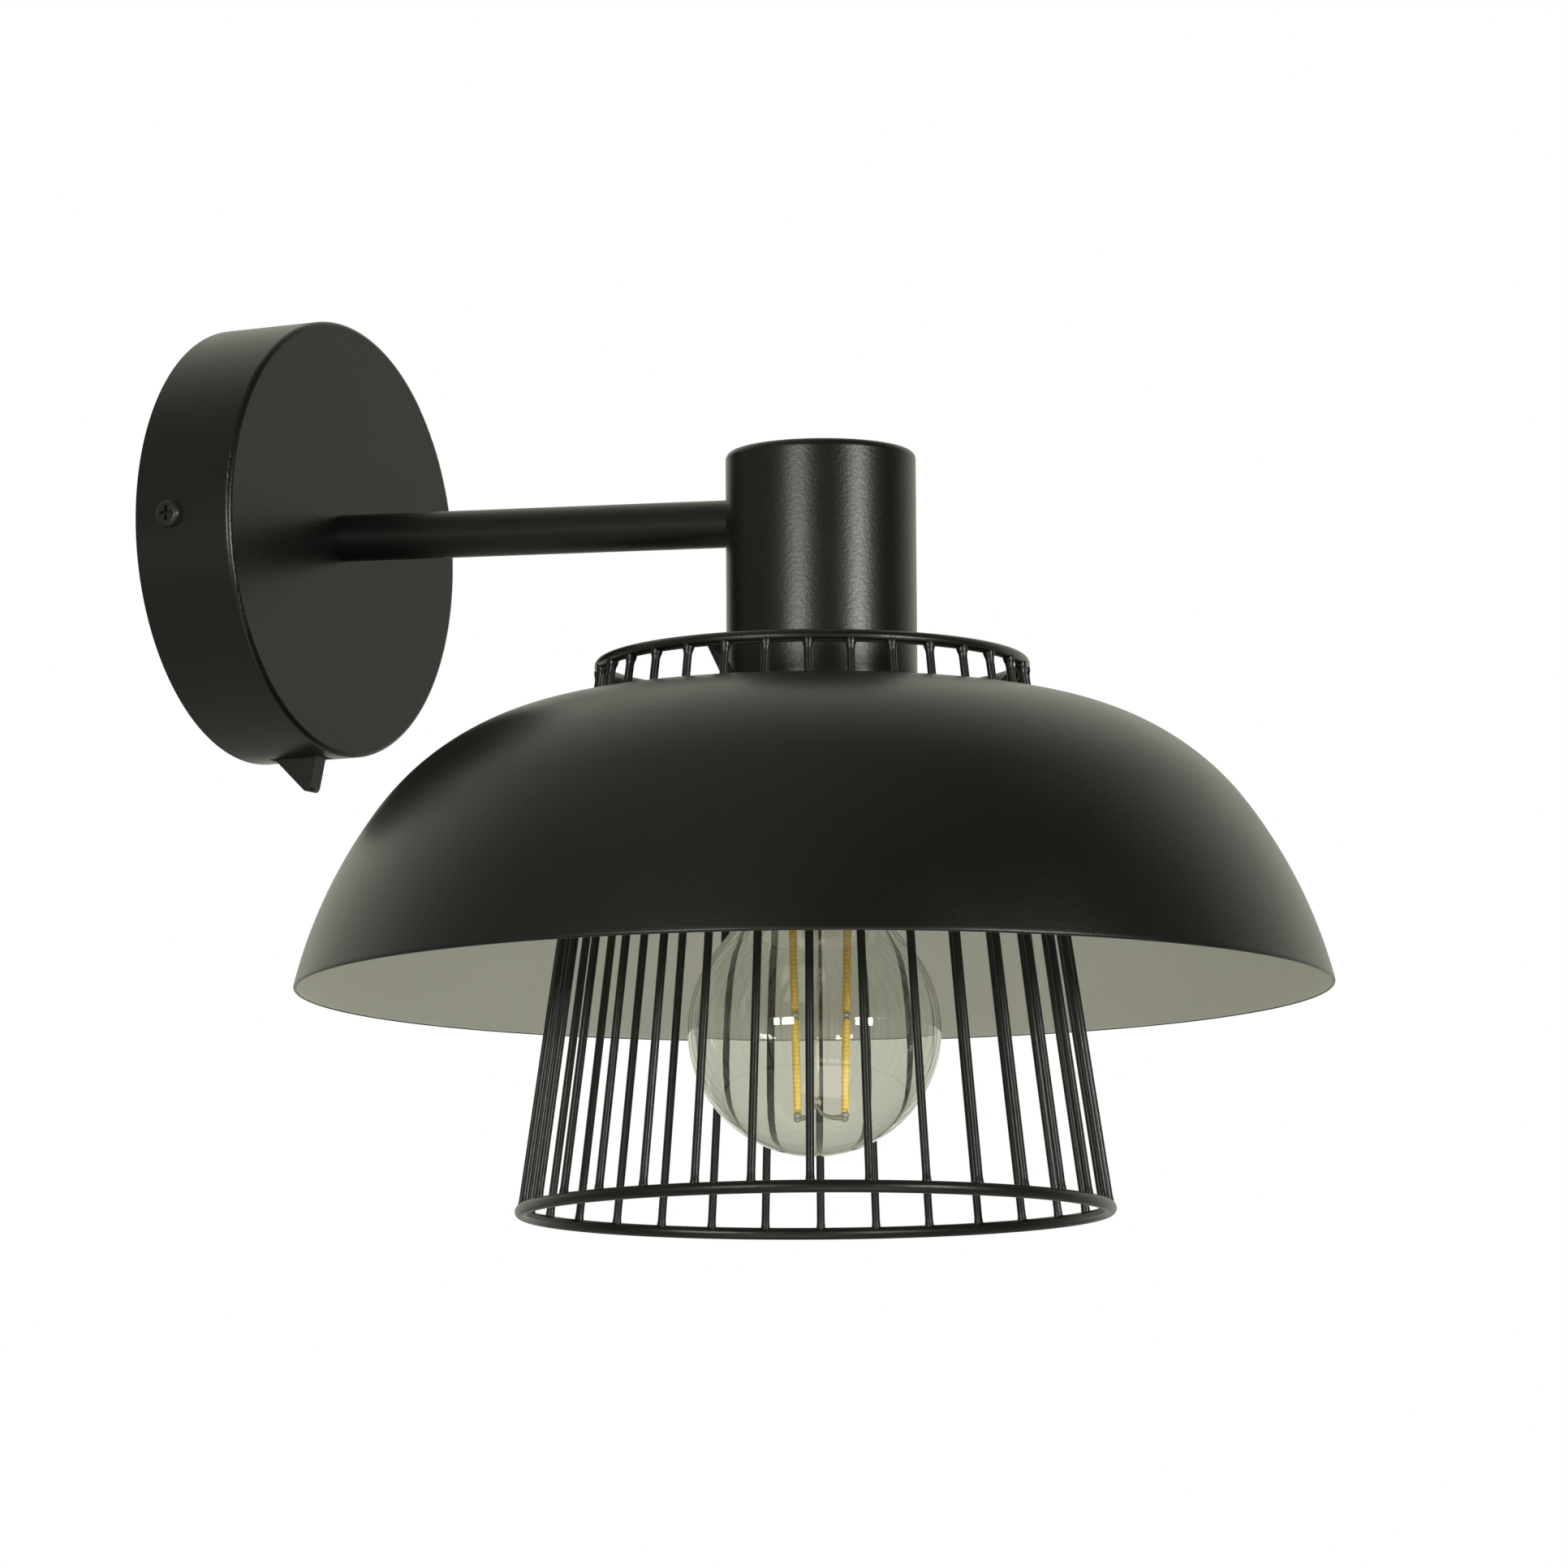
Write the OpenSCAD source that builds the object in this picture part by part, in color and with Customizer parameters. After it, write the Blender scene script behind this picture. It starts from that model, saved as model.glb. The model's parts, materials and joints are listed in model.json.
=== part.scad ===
// Wall light: round canopy with a rocker switch, straight arm, lampholder cup,
// dome shade wedged on an open wire cage, and a clear filament bulb.
// The wall is the plane y = 0, the lamp stands out towards -Y and hangs
// towards -Z. The origin is the middle of the wall plate, level with the arm's root.

/* [Overall] */
// Distance from the wall to the cup's vertical axis
reach = 161; // [134:1:200]
// Outer diameter of the dome shade at its rim
shade_d = 250; // [208:1:300]
// Drop of the dome's rim below the arm's end
shade_rim_drop = 114.9; // [97:0.1:139]
// Drop of the cage's bottom ring below the arm's end
cage_drop = 168.3; // [152:0.1:203]

/* [Canopy] */
// Outer diameter of the canopy
canopy_d = 109; // [90:1:131]
// Depth of the canopy, from the wall to its front face
canopy_h = 27; // [26:0.5:35]
// Sheet thickness of the canopy
canopy_wall = 1; // [0.8:0.1:1.2]
// Outer radius of the canopy's front edge
canopy_edge_r = 1.3; // [1.1:0.1:3.5]
// Distance of the two side screws from the wall
side_screw_off = 10; // [8:0.5:11]

/* [Wall bracket] */
// Width of the bracket's steel strip
bracket_w = 16; // [14:1:19]
// Thickness of the bracket's steel strip
bracket_t = 2; // [1.5:0.1:2.4]
// Distance between the two wall screw holes
fixing_pitch = 60; // [60:1:64]
// Diameter of the wall screw holes
fixing_hole_d = 5; // [4:0.5:6]
// Diameter of the cable hole in the middle
cable_hole_d = 14; // [10:1:16]

/* [Arm] */
// Outer diameter of the arm tube
arm_d = 11.6; // [11.6:0.1:14]
// Fall of the arm from level on its way to the cup
arm_fall = 2.8; // [0:0.1:3]
// Outer diameter of the threaded tubes that hold the arm
nipple_d = 10; // [9:0.1:10]
// Bore of the threaded tubes
nipple_bore_d = 7; // [6:0.1:7.5]

/* [Lamp cup] */
// Outer diameter of the cup
cup_d = 46; // [45:0.5:55]
// Height of the cup's top above the arm's end
cup_top = 15.2; // [12:0.1:20]
// Drop of the cup's open end below the arm's end
cup_drop = 56.8; // [48:0.1:57.6]
// Sheet thickness of the cup
cup_wall = 0.8; // [0.7:0.1:1]
// Outer radius of the cup's top edge
cup_edge_r = 1.8; // [1.4:0.1:3]

/* [Cage] */
// Number of upright cage wires
wire_n = 32; // [24:1:40]
// Diameter of the upright cage wires
wire_d = 2; // [1.6:0.1:2.4]
// Diameter of the wire of the rings and legs
ring_wire_d = 3; // [2.5:0.1:3.6]
// Diameter of the crown ring, measured on the wire's centre
crown_d = 102; // [85:1:120]
// Drop of the crown ring below the arm's end
crown_drop = 36.8; // [32.8:0.1:40.8]
// Diameter of the bottom ring, measured on the wire's centre
bottom_d = 141; // [118:1:169]
// Turn of the first upright wire from the X axis
wire_turn = 4.2; // [0:0.1:11]
// Number of legs from the crown ring to the hub ring
leg_n = 3; // [3:1:4]

/* [Dome shade] */
// Sheet thickness of the dome
shade_wall = 1; // [0.8:0.1:1.5]
// Drop of the dome's top hole below the arm's end
shade_hole_drop = 46.1; // [43.8:0.1:48.8]
// Slope of the dome at its rim
rim_slope = 76; // [72:0.5:80]
// Slope of the dome where its side meets its shoulder
shoulder_slope = 53.5; // [48:0.5:58]
// Slope of the dome at its top hole
hole_slope = 1; // [0:0.5:4]

/* [Lampholder] */
// Outer diameter of the lampholder
holder_d = 38.4; // [38:0.1:41]
// Shift of the lampholder from the cup's axis, towards the wall
holder_shift = 2.7; // [0:0.1:2.7]
// Least gap between the lampholder and the cup
holder_gap = 0.3; // [0.3:0.1:1.2]
// Drop of the lampholder's top below the arm's end
holder_drop = 16.8; // [14.8:0.1:18.8]
// Length of the lampholder's cap
holder_cap_h = 22; // [21:0.5:24]
// Length of the lampholder's threaded skirt
skirt_h = 38; // [37:0.5:40]
// Bore of the lampholder's screw shell
shell_bore_d = 27.4; // [27:0.1:28]

/* [Bulb] */
// Diameter of the bulb's round envelope
bulb_d = 61; // [55:0.5:72]
// Length of the bulb from its contact to its crown
bulb_h = 105; // [100:0.5:126]
// Diameter of the glass neck
neck_d = 25.6; // [24:0.1:25.6]
// Radius of the curve from the envelope to the neck
neck_curve_r = 38; // [34:0.5:42]
// Thickness of the glass
glass_t = 0.8; // [0.6:0.1:1]
// Diameter over the crests of the screw cap's thread
cap_d = 26.2; // [26:0.1:26.4]
// Diameter of a filament stick
filament_d = 1.8; // [1.4:0.1:2.2]

/* [Switch] */
// Distance of the switch's middle from the wall
switch_off = 14.6; // [14:0.1:17]
// Width of the rocker across the switch
rocker_w = 4.6; // [4:0.1:6]
// Radius of the rocker's barrel
rocker_r = 6.6; // [5.5:0.1:7]
// Height of the rocker's ridge from its pivot
rocker_h = 10.8; // [9:0.1:12]
// Tilt of the rocker to either side
rocker_tilt = 16.5; // [10:0.5:17]

/* [Hidden] */
$fn = 96;

// Colours
black_paint = [0.13, 0.13, 0.12];
white_paint = [0.90, 0.90, 0.88];
black_plastic = [0.10, 0.10, 0.10];
zinc = [0.70, 0.71, 0.72];
brass = [0.80, 0.65, 0.35];
nickel = [0.75, 0.74, 0.70];
clear_glass = [0.85, 0.90, 0.88, 0.35];
phosphor = [0.95, 0.75, 0.25];

// Clearances: in a thread, round a part that is pushed in, in a drilled hole,
// and beside a moving part
thread_gap = 0.05;
push_gap = 0.1;
hole_gap = 0.15;
moving_gap = 0.3;
// Overshoot of a cutting shape past the face that it cuts
cut = 1;

// Screws and nuts
screw_d = 4;
pan_head_d = 6.6;
pan_head_h = 2.1;
cross_w = 0.9;
cross_l = 3.6;
cross_deep = 1.4;
nut_af = 14;
nut_h = 3;
washer_t = 0.8;
washer_d = 17;
washer_notch_n = 16;
washer_notch_d = 1.8;
notch_out = 0.4;

// Canopy and wall bracket
canopy_r = canopy_d / 2;
canopy_bore_r = canopy_r - canopy_wall;
tab_gap = 1.1;
tab_x = canopy_bore_r - tab_gap;
tab_reach = side_screw_off + bracket_w / 2 - bracket_t;
side_screw_l = 10;
earth_x = fixing_pitch / 4;
earth_head_h = 2.6;
earth_head_d = 7;

// Terminal block beside the cable hole
block_l = 16;
block_w = 18;
block_h = 12;
block_x = cable_hole_d / 2 + 2;
pole_pitch = 9;
pole_bore_d = 3.2;
block_screw_d = 4;
block_screw_inset = 4.5;
block_slot_w = 0.8;
block_screw_sink = 0.5;

// Threaded tubes and what they clamp
nipple_over = 1.5;
canopy_nut_y = canopy_h - canopy_wall - 2 * washer_t;
canopy_nipple_end = canopy_nut_y - nut_h - nipple_over;
nipple_grip = 8;
cup_r = cup_d / 2;
cup_bore_r = cup_r - cup_wall;
saddle_t = 1.4;
saddle_w = 13;
strap_t = 1.5;
strap_w = 14;
strap_face = cup_bore_r - saddle_t;
strap_back = strap_face - strap_t;
strap_top = 8;
strap_tail = 9;
lamp_nipple_end = strap_back - nut_h - nipple_over;
// The arm tilts on its two nipples, which stay level, so its bore has play
arm_span = reach - cup_r - canopy_h - nipple_grip;
arm_sink = arm_span * tan(arm_fall);
arm_bore_r = nipple_d / 2 + thread_gap + nipple_grip / 2 * tan(arm_fall);
tag_tail = 14.5;
tag_w = 5;

// Lampholder, from its top down
holder_r = holder_d / 2;
holder_off = min(holder_shift, cup_bore_r - holder_r - holder_gap);
holder_wall = 2;
holder_edge_r = 8;
holder_z = -holder_drop;
cap_end_z = holder_z - holder_cap_h;
skirt_end_z = cap_end_z - skirt_h;
core_h = 10;
core_drop = 8;
core_low_z = cap_end_z - core_drop;
core_top_z = core_low_z + core_h;
core_r = holder_r - holder_wall - 2 * push_gap;
shell_t = 0.45;
shell_r = shell_bore_d / 2 + shell_t;
shell_lip = 1;
terminal_x = 9;
terminal_l = 9;
terminal_w = 6;
terminal_t = 1;
terminal_screw_d = 2.5;
terminal_head_d = 4;
terminal_head_h = 1.5;
terminal_screw_deep = 3;
leaf_w = 6;
leaf_t = 0.6;
leaf_reach = 3.2;
holder_nipple_under = 9;

// Cage and what clamps it to the lampholder. The legs fall just steeply enough
// to pass under the cup's edge, and that sets the height of the hub ring.
ring_r = ring_wire_d / 2;
wire_r = wire_d / 2;
crown_r = crown_d / 2;
crown_z = -crown_drop;
bottom_r = bottom_d / 2;
bottom_z = -cage_drop;
upper_ring_h = 2.5;
upper_ring_r = holder_r + 1.7;
hub_r = holder_r + push_gap + ring_r;
past_cup = [crown_r - cup_r - holder_off, cup_drop - crown_drop];
leg_dip = atan2(past_cup[1], past_cup[0]) + asin((ring_r + moving_gap) / norm(past_cup));
hub_z = crown_z - (crown_r - hub_r) * tan(leg_dip);
upper_ring_z = hub_z + ring_r + upper_ring_h;
hub_weld_r = hub_r + ring_r / 2;
lower_ring_z = hub_z - ring_r;
lower_ring_h = 7.5;
lower_flange_h = 2;
lower_flange_r = holder_r + 6.2;
lower_ring_r = holder_r + 3.2;
knurl_n = 24;
knurl_d = 1.6;
knurl_out = 0.3;
leg_turn = 60;

// Dome: a side arc and a shoulder arc, tangent where they meet. The hole sits
// just outside the cage wires, which widen downwards and so carry the dome.
wire_lean = atan2(bottom_r - crown_r, crown_z - bottom_z);
hole_low_z = -shade_hole_drop - shade_wall;
wire_axis_r = crown_r + (crown_z - hole_low_z) * tan(wire_lean);
shade_hole_r = wire_axis_r + wire_r / cos(wire_lean) + thread_gap;
shade_r = shade_d / 2;
dome_run = shade_r - shade_hole_r;
dome_rise = shade_rim_drop - shade_hole_drop;
side_run = sin(rim_slope) - sin(shoulder_slope);
side_rise = cos(shoulder_slope) - cos(rim_slope);
top_run = sin(shoulder_slope) - sin(hole_slope);
top_rise = cos(hole_slope) - cos(shoulder_slope);
dome_det = side_run * top_rise - top_run * side_rise;
side_arc_r = (dome_run * top_rise - top_run * dome_rise) / dome_det;
top_arc_r = (side_run * dome_rise - side_rise * dome_run) / dome_det;
side_centre = [shade_r, -shade_rim_drop] - side_arc_r * slope_normal(rim_slope);
top_centre = side_centre + (side_arc_r - top_arc_r) * slope_normal(shoulder_slope);
arc_fn = 180;
slice_lap = 5;

// Bulb, from its contact down
bulb_r = bulb_d / 2;
contact_gap = 0.3;
bulb_top_z = core_low_z - leaf_reach - contact_gap;
bulb_z = bulb_top_z - bulb_h + bulb_r;
neck_r = neck_d / 2;
neck_span = bulb_r + neck_curve_r;
neck_z = bulb_z + sqrt(pow(neck_span, 2) - pow(neck_r + neck_curve_r, 2));
contact_d = 9.2;
contact_h = 1;
insulator_h = 2.5;
insulator_d = 18.8;
insulator_seat = 1.5;
cap_top_z = bulb_top_z - contact_h - insulator_h;
cap_h = 24;
cap_t = 0.4;
cap_root_d = 24.4;
cap_shoulder = 1;
collar_h = 4;
collar_t = 0.3;
collar_d = neck_d + 2 * thread_gap + 2 * collar_t;
thread_pitch = 3.63;
thread_crests = 5;
crest_r = 1.2;
cap_low_z = cap_top_z - cap_h;
neck_top_z = cap_low_z + collar_h - cap_t - push_gap;
stem_sink = 1.5;
stem_top_z = neck_top_z - stem_sink;
stem_flare_h = 9;
stem_r = 3.2;
stem_tube_l = 22;
stem_low_z = stem_top_z - stem_tube_l;
stem_rod_r = 1.1;
rod_reach = 2;

// Filaments: four chains of two sticks round the stem's rod, square to the
// view from the front left corner
chain_n = 4;
chain_turn = -17;
chain_top_r = 9.4;
chain_low_r = 8;
filament_shift = [0.7, -1.3];
filament_top_z = bulb_z + 27;
filament_mid_z = bulb_z + 3;
filament_low_z = bulb_z - 21;
crimp_r = 1.05;
crimp_l = 1.8;
crimp_gap = 0.02;
support_d = 0.8;
top_root_rise = 6;
low_root_rise = 3;

// Switch, set in the canopy's lower side from within
pivot_deep = 2;
rocker_pivot_z = pivot_deep - canopy_r;
rocker_tip_r = 1.2;
rocker_face = 0.6;
rocker_base_w = 12.8;
pivot_pin_d = 1.8;
pivot_gap = 0.1;
case_wall = 0.6;
case_end = 0.5;
case_floor = 1.5;
case_sink = 0.3;
case_w = rocker_w + 2 * moving_gap + 2 * case_wall;
case_l = 2 * (rocker_r + moving_gap + case_end);
flange_t = 1.5;
flange_out = 2;
flange_w = case_w + 2 * flange_out;
flange_l = case_l + flange_out;
flange_z = -sqrt(pow(canopy_bore_r, 2) - pow(flange_w / 2, 2)) + push_gap;
well_top_z = rocker_pivot_z + rocker_r + moving_gap;
case_top_z = well_top_z + case_floor;
switch_tab_off = 3.5;
switch_tab_w = 3.8;
switch_tab_t = 0.8;
switch_tab_h = 8;

// Leads: points on each route, in order
lead_d = 2;
lead_r = lead_d / 2;
lead_sides = 8;
lead_steps = 3;
lead_x = 1.3;
block_mid_y = -bracket_t - block_h / 2;
block_out_x = block_x + block_l;
tab_top_z = case_top_z + switch_tab_h;
run_start = canopy_nipple_end + 3;
run_end = reach - lamp_nipple_end;
run_points = 7;
loop_y = -canopy_nipple_end + 3.4;
wrap_z = core_top_z + terminal_t + lead_r + 0.1;
live_route = [
    [block_out_x - 3, block_mid_y, -pole_pitch / 2],
    [block_out_x + 3, block_mid_y, -pole_pitch / 2 - 0.5],
    [block_out_x + 5, block_mid_y - 1, 0.3 * tab_top_z],
    [0.7 * block_out_x, block_mid_y - 3, 0.6 * tab_top_z],
    [3, -switch_off + switch_tab_off, 0.8 * tab_top_z],
    [0, -switch_off + switch_tab_off, tab_top_z + 3],
    [0, -switch_off + switch_tab_off, tab_top_z + 0.1]
];
switched_route = concat(
    [
        [0, -switch_off - switch_tab_off, tab_top_z + 0.1],
        [0, -switch_off - switch_tab_off, tab_top_z + 3],
        [-3, -switch_off - 2, 0.8 * tab_top_z],
        [-8, loop_y - 0.5, 0.5 * tab_top_z],
        [-6, loop_y, -7],
        [-2.4, loop_y - 1, -1.4]
    ],
    arm_run(-lead_x),
    cup_run(-lead_x)
);
neutral_route = concat(
    [
        [block_out_x - 3, block_mid_y, pole_pitch / 2],
        [block_out_x + 3, block_mid_y, pole_pitch / 2],
        [block_out_x + 5, block_mid_y - 4, pole_pitch / 2],
        [block_out_x - 4, loop_y, 4],
        [10, loop_y, 3],
        [3.4, loop_y - 0.6, 1.2]
    ],
    arm_run(lead_x),
    cup_run(lead_x)
);
earth_route = [
    [-earth_x, -bracket_t - lead_r - 0.1, earth_head_d / 2 + lead_r + 0.2],
    [-earth_x - 0.5, -bracket_t - 2.5, earth_head_d / 2 + 5],
    [-earth_x - 1, 0.45 * -canopy_h, 11],
    [-earth_x, 0.75 * -canopy_h, 8],
    [-tag_tail + 2, -canopy_nut_y + lead_r + 0.3, 3.5],
    [-tag_tail + 2, -canopy_nut_y + lead_r + 0.1, 0]
];

function slope_normal(a) = [sin(a), cos(a)];
function unit(v) = v / norm(v);

// The straight stretch of a lead through the arm, at x from its axis
function arm_run(x) = [
    for (i = [0 : run_points - 1])
        let (t = i / (run_points - 1))
        [x, -run_start - (run_end - run_start) * t, -arm_sink * t]
];

// The stretch of a lead from the arm down to its terminal, at x in the bore
function cup_run(x) = [
    for (p = [
        [x, 8 - holder_off, -0.5],
        [x, 2.2, -4],
        [x, 0.4, holder_z + nipple_over],
        [x, 0, holder_z - holder_nipple_under],
        [sign(x) * 3.5, 1.6, holder_z - holder_nipple_under - 3.5],
        [sign(x) * 6.5, 3.4, wrap_z + 1.6],
        [sign(x) * (terminal_x + 0.5), 3.4, wrap_z]
    ]) p + [0, holder_off - reach, -arm_sink]
];

// Point at t on a Catmull-Rom curve between b and c
function curve_point(a, b, c, d, t) =
    b + (c - a) * t / 2
    + (2 * a - 5 * b + 4 * c - d) * t * t / 2
    + (3 * b - a - 3 * c + d) * t * t * t / 2;

function smooth_route(p) = [
    for (i = [0 : len(p) - 2])
        for (k = [0 : lead_steps - 1])
            curve_point(p[max(i - 1, 0)], p[i], p[i + 1],
                p[min(i + 2, len(p) - 1)], k / lead_steps),
    p[len(p) - 1]
];

function tangents(p) = [
    for (i = [0 : len(p) - 1])
        unit(p[min(i + 1, len(p) - 1)] - p[max(i - 1, 0)])
];

// Carries one normal along the tangents without twist
function carried_normals(t, n, i = 0) =
    i == len(t) ? [] :
    let (m = unit(n - (n * t[i]) * t[i]))
    concat([m], carried_normals(t, m, i + 1));

// ---- shared shapes ----

// Turns a shape that stands on z = 0 so that it stands out from the wall
module off_wall() {
    rotate([90, 0, 0]) children();
}

// Moves a shape from the origin to the arm's end, on the cup's axis
module at_cup() {
    translate([0, -reach, -arm_sink]) children();
}

// The same on the lampholder's axis, which lies nearer to the wall
module at_lamp() {
    at_cup() translate([0, holder_off, 0]) children();
}

module rod(p, q, r, sides = 24) {
    along = q - p;
    translate(p)
        rotate([0, acos(along[2] / norm(along)), atan2(along[1], along[0])])
            cylinder(h = norm(along), r = r, $fn = sides);
}

// Half outline of a round block from base to h, its top edge rounded
module round_outline(r, h, edge, base = 0) {
    translate([0, base]) square([r, h - edge - base]);
    translate([0, base]) square([r - edge, h - base]);
    translate([r - edge, h - edge]) circle(edge);
}

module tube(h, r, bore_r) {
    difference() {
        cylinder(h = h, r = r);
        translate([0, 0, -cut]) cylinder(h = h + 2 * cut, r = bore_r);
    }
}

module wire_ring(r, wire_r) {
    rotate_extrude($fn = 120) translate([r, 0]) circle(wire_r, $fn = 32);
}

module hex_nut(h, af, bore_d) {
    difference() {
        cylinder(h = h, r = af / 2 / cos(30), $fn = 6);
        translate([0, 0, -cut]) cylinder(h = h + 2 * cut, d = bore_d);
    }
}

// Pan head screw, its head on z = 0 upwards and its shank below
module pan_screw(shank_d, shank_l, head_d, head_h) {
    difference() {
        rotate_extrude() round_outline(head_d / 2, head_h, head_h / 2);
        for (a = [0, 90])
            rotate([0, 0, a])
                translate([-cross_l / 2, -cross_w / 2, head_h - cross_deep])
                    cube([cross_l, cross_w, cross_deep + cut]);
    }
    translate([0, 0, -shank_l]) cylinder(h = shank_l, d = shank_d);
}

// Slotted grub screw standing on z = 0
module grub_screw(d, h, slot_w) {
    difference() {
        cylinder(h = h, d = d);
        translate([-d, -slot_w / 2, h - slot_w]) cube([2 * d, slot_w, slot_w + cut]);
    }
}

module lead(route) {
    path = smooth_route(route);
    along = tangents(path);
    side = carried_normals(along, unit([0.3, 0.4, 0.87]));
    last = (len(path) - 1) * lead_sides;
    rings = [
        for (i = [0 : len(path) - 1])
            for (k = [0 : lead_sides - 1])
                let (a = 360 * k / lead_sides)
                path[i] + lead_r * (cos(a) * side[i] + sin(a) * cross(along[i], side[i]))
    ];
    walls = [
        for (i = [0 : len(path) - 2])
            for (k = [0 : lead_sides - 1])
                let (
                    a = i * lead_sides + k,
                    b = i * lead_sides + (k + 1) % lead_sides,
                    c = b + lead_sides,
                    d = a + lead_sides
                )
                each [[a, d, c], [a, c, b]]
    ];
    ends = [
        [for (k = [0 : lead_sides - 1]) k],
        [for (k = [lead_sides - 1 : -1 : 0]) last + k]
    ];
    polyhedron(rings, concat(walls, ends), convexity = 6);
}

// ---- wall bracket and canopy ----

module wall_bracket() color(zinc) difference() {
    translate([-tab_x, -bracket_t, -bracket_w / 2])
        cube([2 * tab_x, bracket_t, bracket_w]);
    for (x = [-fixing_pitch / 2, fixing_pitch / 2])
        translate([x, cut, 0])
            off_wall() cylinder(h = bracket_t + 2 * cut, d = fixing_hole_d);
    translate([0, cut, 0])
        off_wall() cylinder(h = bracket_t + 2 * cut, d = cable_hole_d);
    translate([-earth_x, cut, 0])
        off_wall() cylinder(h = bracket_t + 2 * cut, d = screw_d + 2 * thread_gap);
}

// Two tapped tabs welded on the strip's ends, which take the canopy's screws
module bracket_tabs() color(zinc) difference() {
    for (side = [-1, 1])
        translate([side * (tab_x - bracket_t / 2), -(tab_reach + bracket_t) / 2, 0])
            cube([bracket_t, tab_reach - bracket_t, bracket_w], center = true);
    for (side = [-1, 1])
        translate([side * tab_x, -side_screw_off, 0])
            rotate([0, 90, 0])
                cylinder(h = 4 * bracket_t, d = screw_d + 2 * thread_gap, center = true);
}

module earth_screw() color(brass) {
    translate([-earth_x, -bracket_t, 0])
        off_wall() pan_screw(screw_d, bracket_t, earth_head_d, earth_head_h);
}

module canopy() color(black_paint) difference() {
    off_wall() rotate_extrude($fn = 180) difference() {
        round_outline(canopy_r, canopy_h, canopy_edge_r);
        round_outline(canopy_bore_r, canopy_h - canopy_wall,
            canopy_edge_r - canopy_wall, -cut);
    }
    off_wall() cylinder(h = canopy_h + cut, d = nipple_d + 2 * hole_gap);
    for (side = [-1, 1])
        translate([side * canopy_r, -side_screw_off, 0])
            rotate([0, 90, 0])
                cylinder(h = 8 * canopy_wall, d = screw_d + 2 * hole_gap, center = true);
    translate([0, -switch_off, -canopy_r])
        cube([case_w + 2 * push_gap, case_l + 2 * push_gap, 6 * canopy_wall], center = true);
}

module canopy_screws() color(black_paint) {
    for (side = [-1, 1])
        translate([side * (canopy_r + thread_gap), -side_screw_off, 0])
            rotate([0, side * 90, 0])
                pan_screw(screw_d, side_screw_l, pan_head_d, pan_head_h);
}

module terminal_block() color(white_paint) difference() {
    translate([block_x, -bracket_t - block_h, -block_w / 2])
        cube([block_l, block_h, block_w]);
    for (z = [-pole_pitch / 2, pole_pitch / 2]) {
        translate([block_x - cut, block_mid_y, z])
            rotate([0, 90, 0])
                cylinder(h = block_l + 2 * cut, d = pole_bore_d);
        for (x = [block_screw_inset, block_l - block_screw_inset])
            translate([block_x + x, block_mid_y, z])
                off_wall() cylinder(h = block_h, d = block_screw_d);
    }
}

module terminal_block_screws() color(zinc) {
    for (z = [-pole_pitch / 2, pole_pitch / 2])
        for (x = [block_screw_inset, block_l - block_screw_inset])
            translate([block_x + x, block_mid_y - pole_bore_d / 2, z])
                off_wall() grub_screw(block_screw_d - 2 * thread_gap,
                    block_h / 2 - pole_bore_d / 2 - block_screw_sink, block_slot_w);
}

// ---- switch ----

module switch_body() color(black_plastic) difference() {
    union() {
        translate([-flange_w / 2, -switch_off - flange_l / 2, flange_z])
            cube([flange_w, flange_l, flange_t]);
        translate([-case_w / 2, -switch_off - case_l / 2, -canopy_r + case_sink])
            cube([case_w, case_l, case_top_z + canopy_r - case_sink]);
    }
    translate([
        -rocker_w / 2 - moving_gap,
        -switch_off - rocker_r - moving_gap,
        -canopy_r - cut
    ])
        cube([
            rocker_w + 2 * moving_gap,
            2 * (rocker_r + moving_gap),
            well_top_z + canopy_r + cut
        ]);
    translate([0, -switch_off, rocker_pivot_z])
        rotate([0, 90, 0])
            cylinder(h = case_w - push_gap, d = pivot_pin_d + 2 * pivot_gap, center = true);
    for (side = [-1, 1])
        translate([0, -switch_off + side * switch_tab_off, case_top_z])
            cube([
                switch_tab_w + 2 * thread_gap,
                switch_tab_t + 2 * thread_gap,
                4 * case_floor
            ], center = true);
}

// Point where the rocker's straight side meets its round tip, on side 1 or -1
function rocker_touch(side) =
    let (
        centre = [0, rocker_tip_r - rocker_h],
        base = [side * rocker_base_w / 2, -rocker_face],
        way = base - centre,
        turn = atan2(way[1], way[0]) - side * acos(rocker_tip_r / norm(way))
    )
    centre + rocker_tip_r * [cos(turn), sin(turn)];

// Rocker: a barrel inside and a ridged roof outside, pressed over to the front
module switch_rocker() color(black_plastic) {
    translate([0, -switch_off, rocker_pivot_z]) {
        rotate([-rocker_tilt, 0, 0])
            rotate([90, 0, 90])
                linear_extrude(rocker_w, center = true) {
                    difference() {
                        circle(rocker_r);
                        translate([-2 * rocker_r, -rocker_face - 2 * rocker_r])
                            square([4 * rocker_r, 2 * rocker_r]);
                    }
                    translate([0, rocker_tip_r - rocker_h]) circle(rocker_tip_r);
                    polygon([
                        [-rocker_base_w / 2, -rocker_face],
                        rocker_touch(-1),
                        [0, rocker_tip_r - rocker_h],
                        rocker_touch(1),
                        [rocker_base_w / 2, -rocker_face],
                        [0, 0]
                    ]);
                }
        rotate([0, 90, 0])
            cylinder(h = case_w - 2 * push_gap, d = pivot_pin_d, center = true);
    }
}

module switch_terminals() color(brass) {
    for (side = [-1, 1])
        translate([
            -switch_tab_w / 2,
            -switch_off + side * switch_tab_off - switch_tab_t / 2,
            well_top_z
        ])
            cube([switch_tab_w, switch_tab_t, case_floor + switch_tab_h]);
}

// ---- arm and its threaded tubes ----

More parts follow.
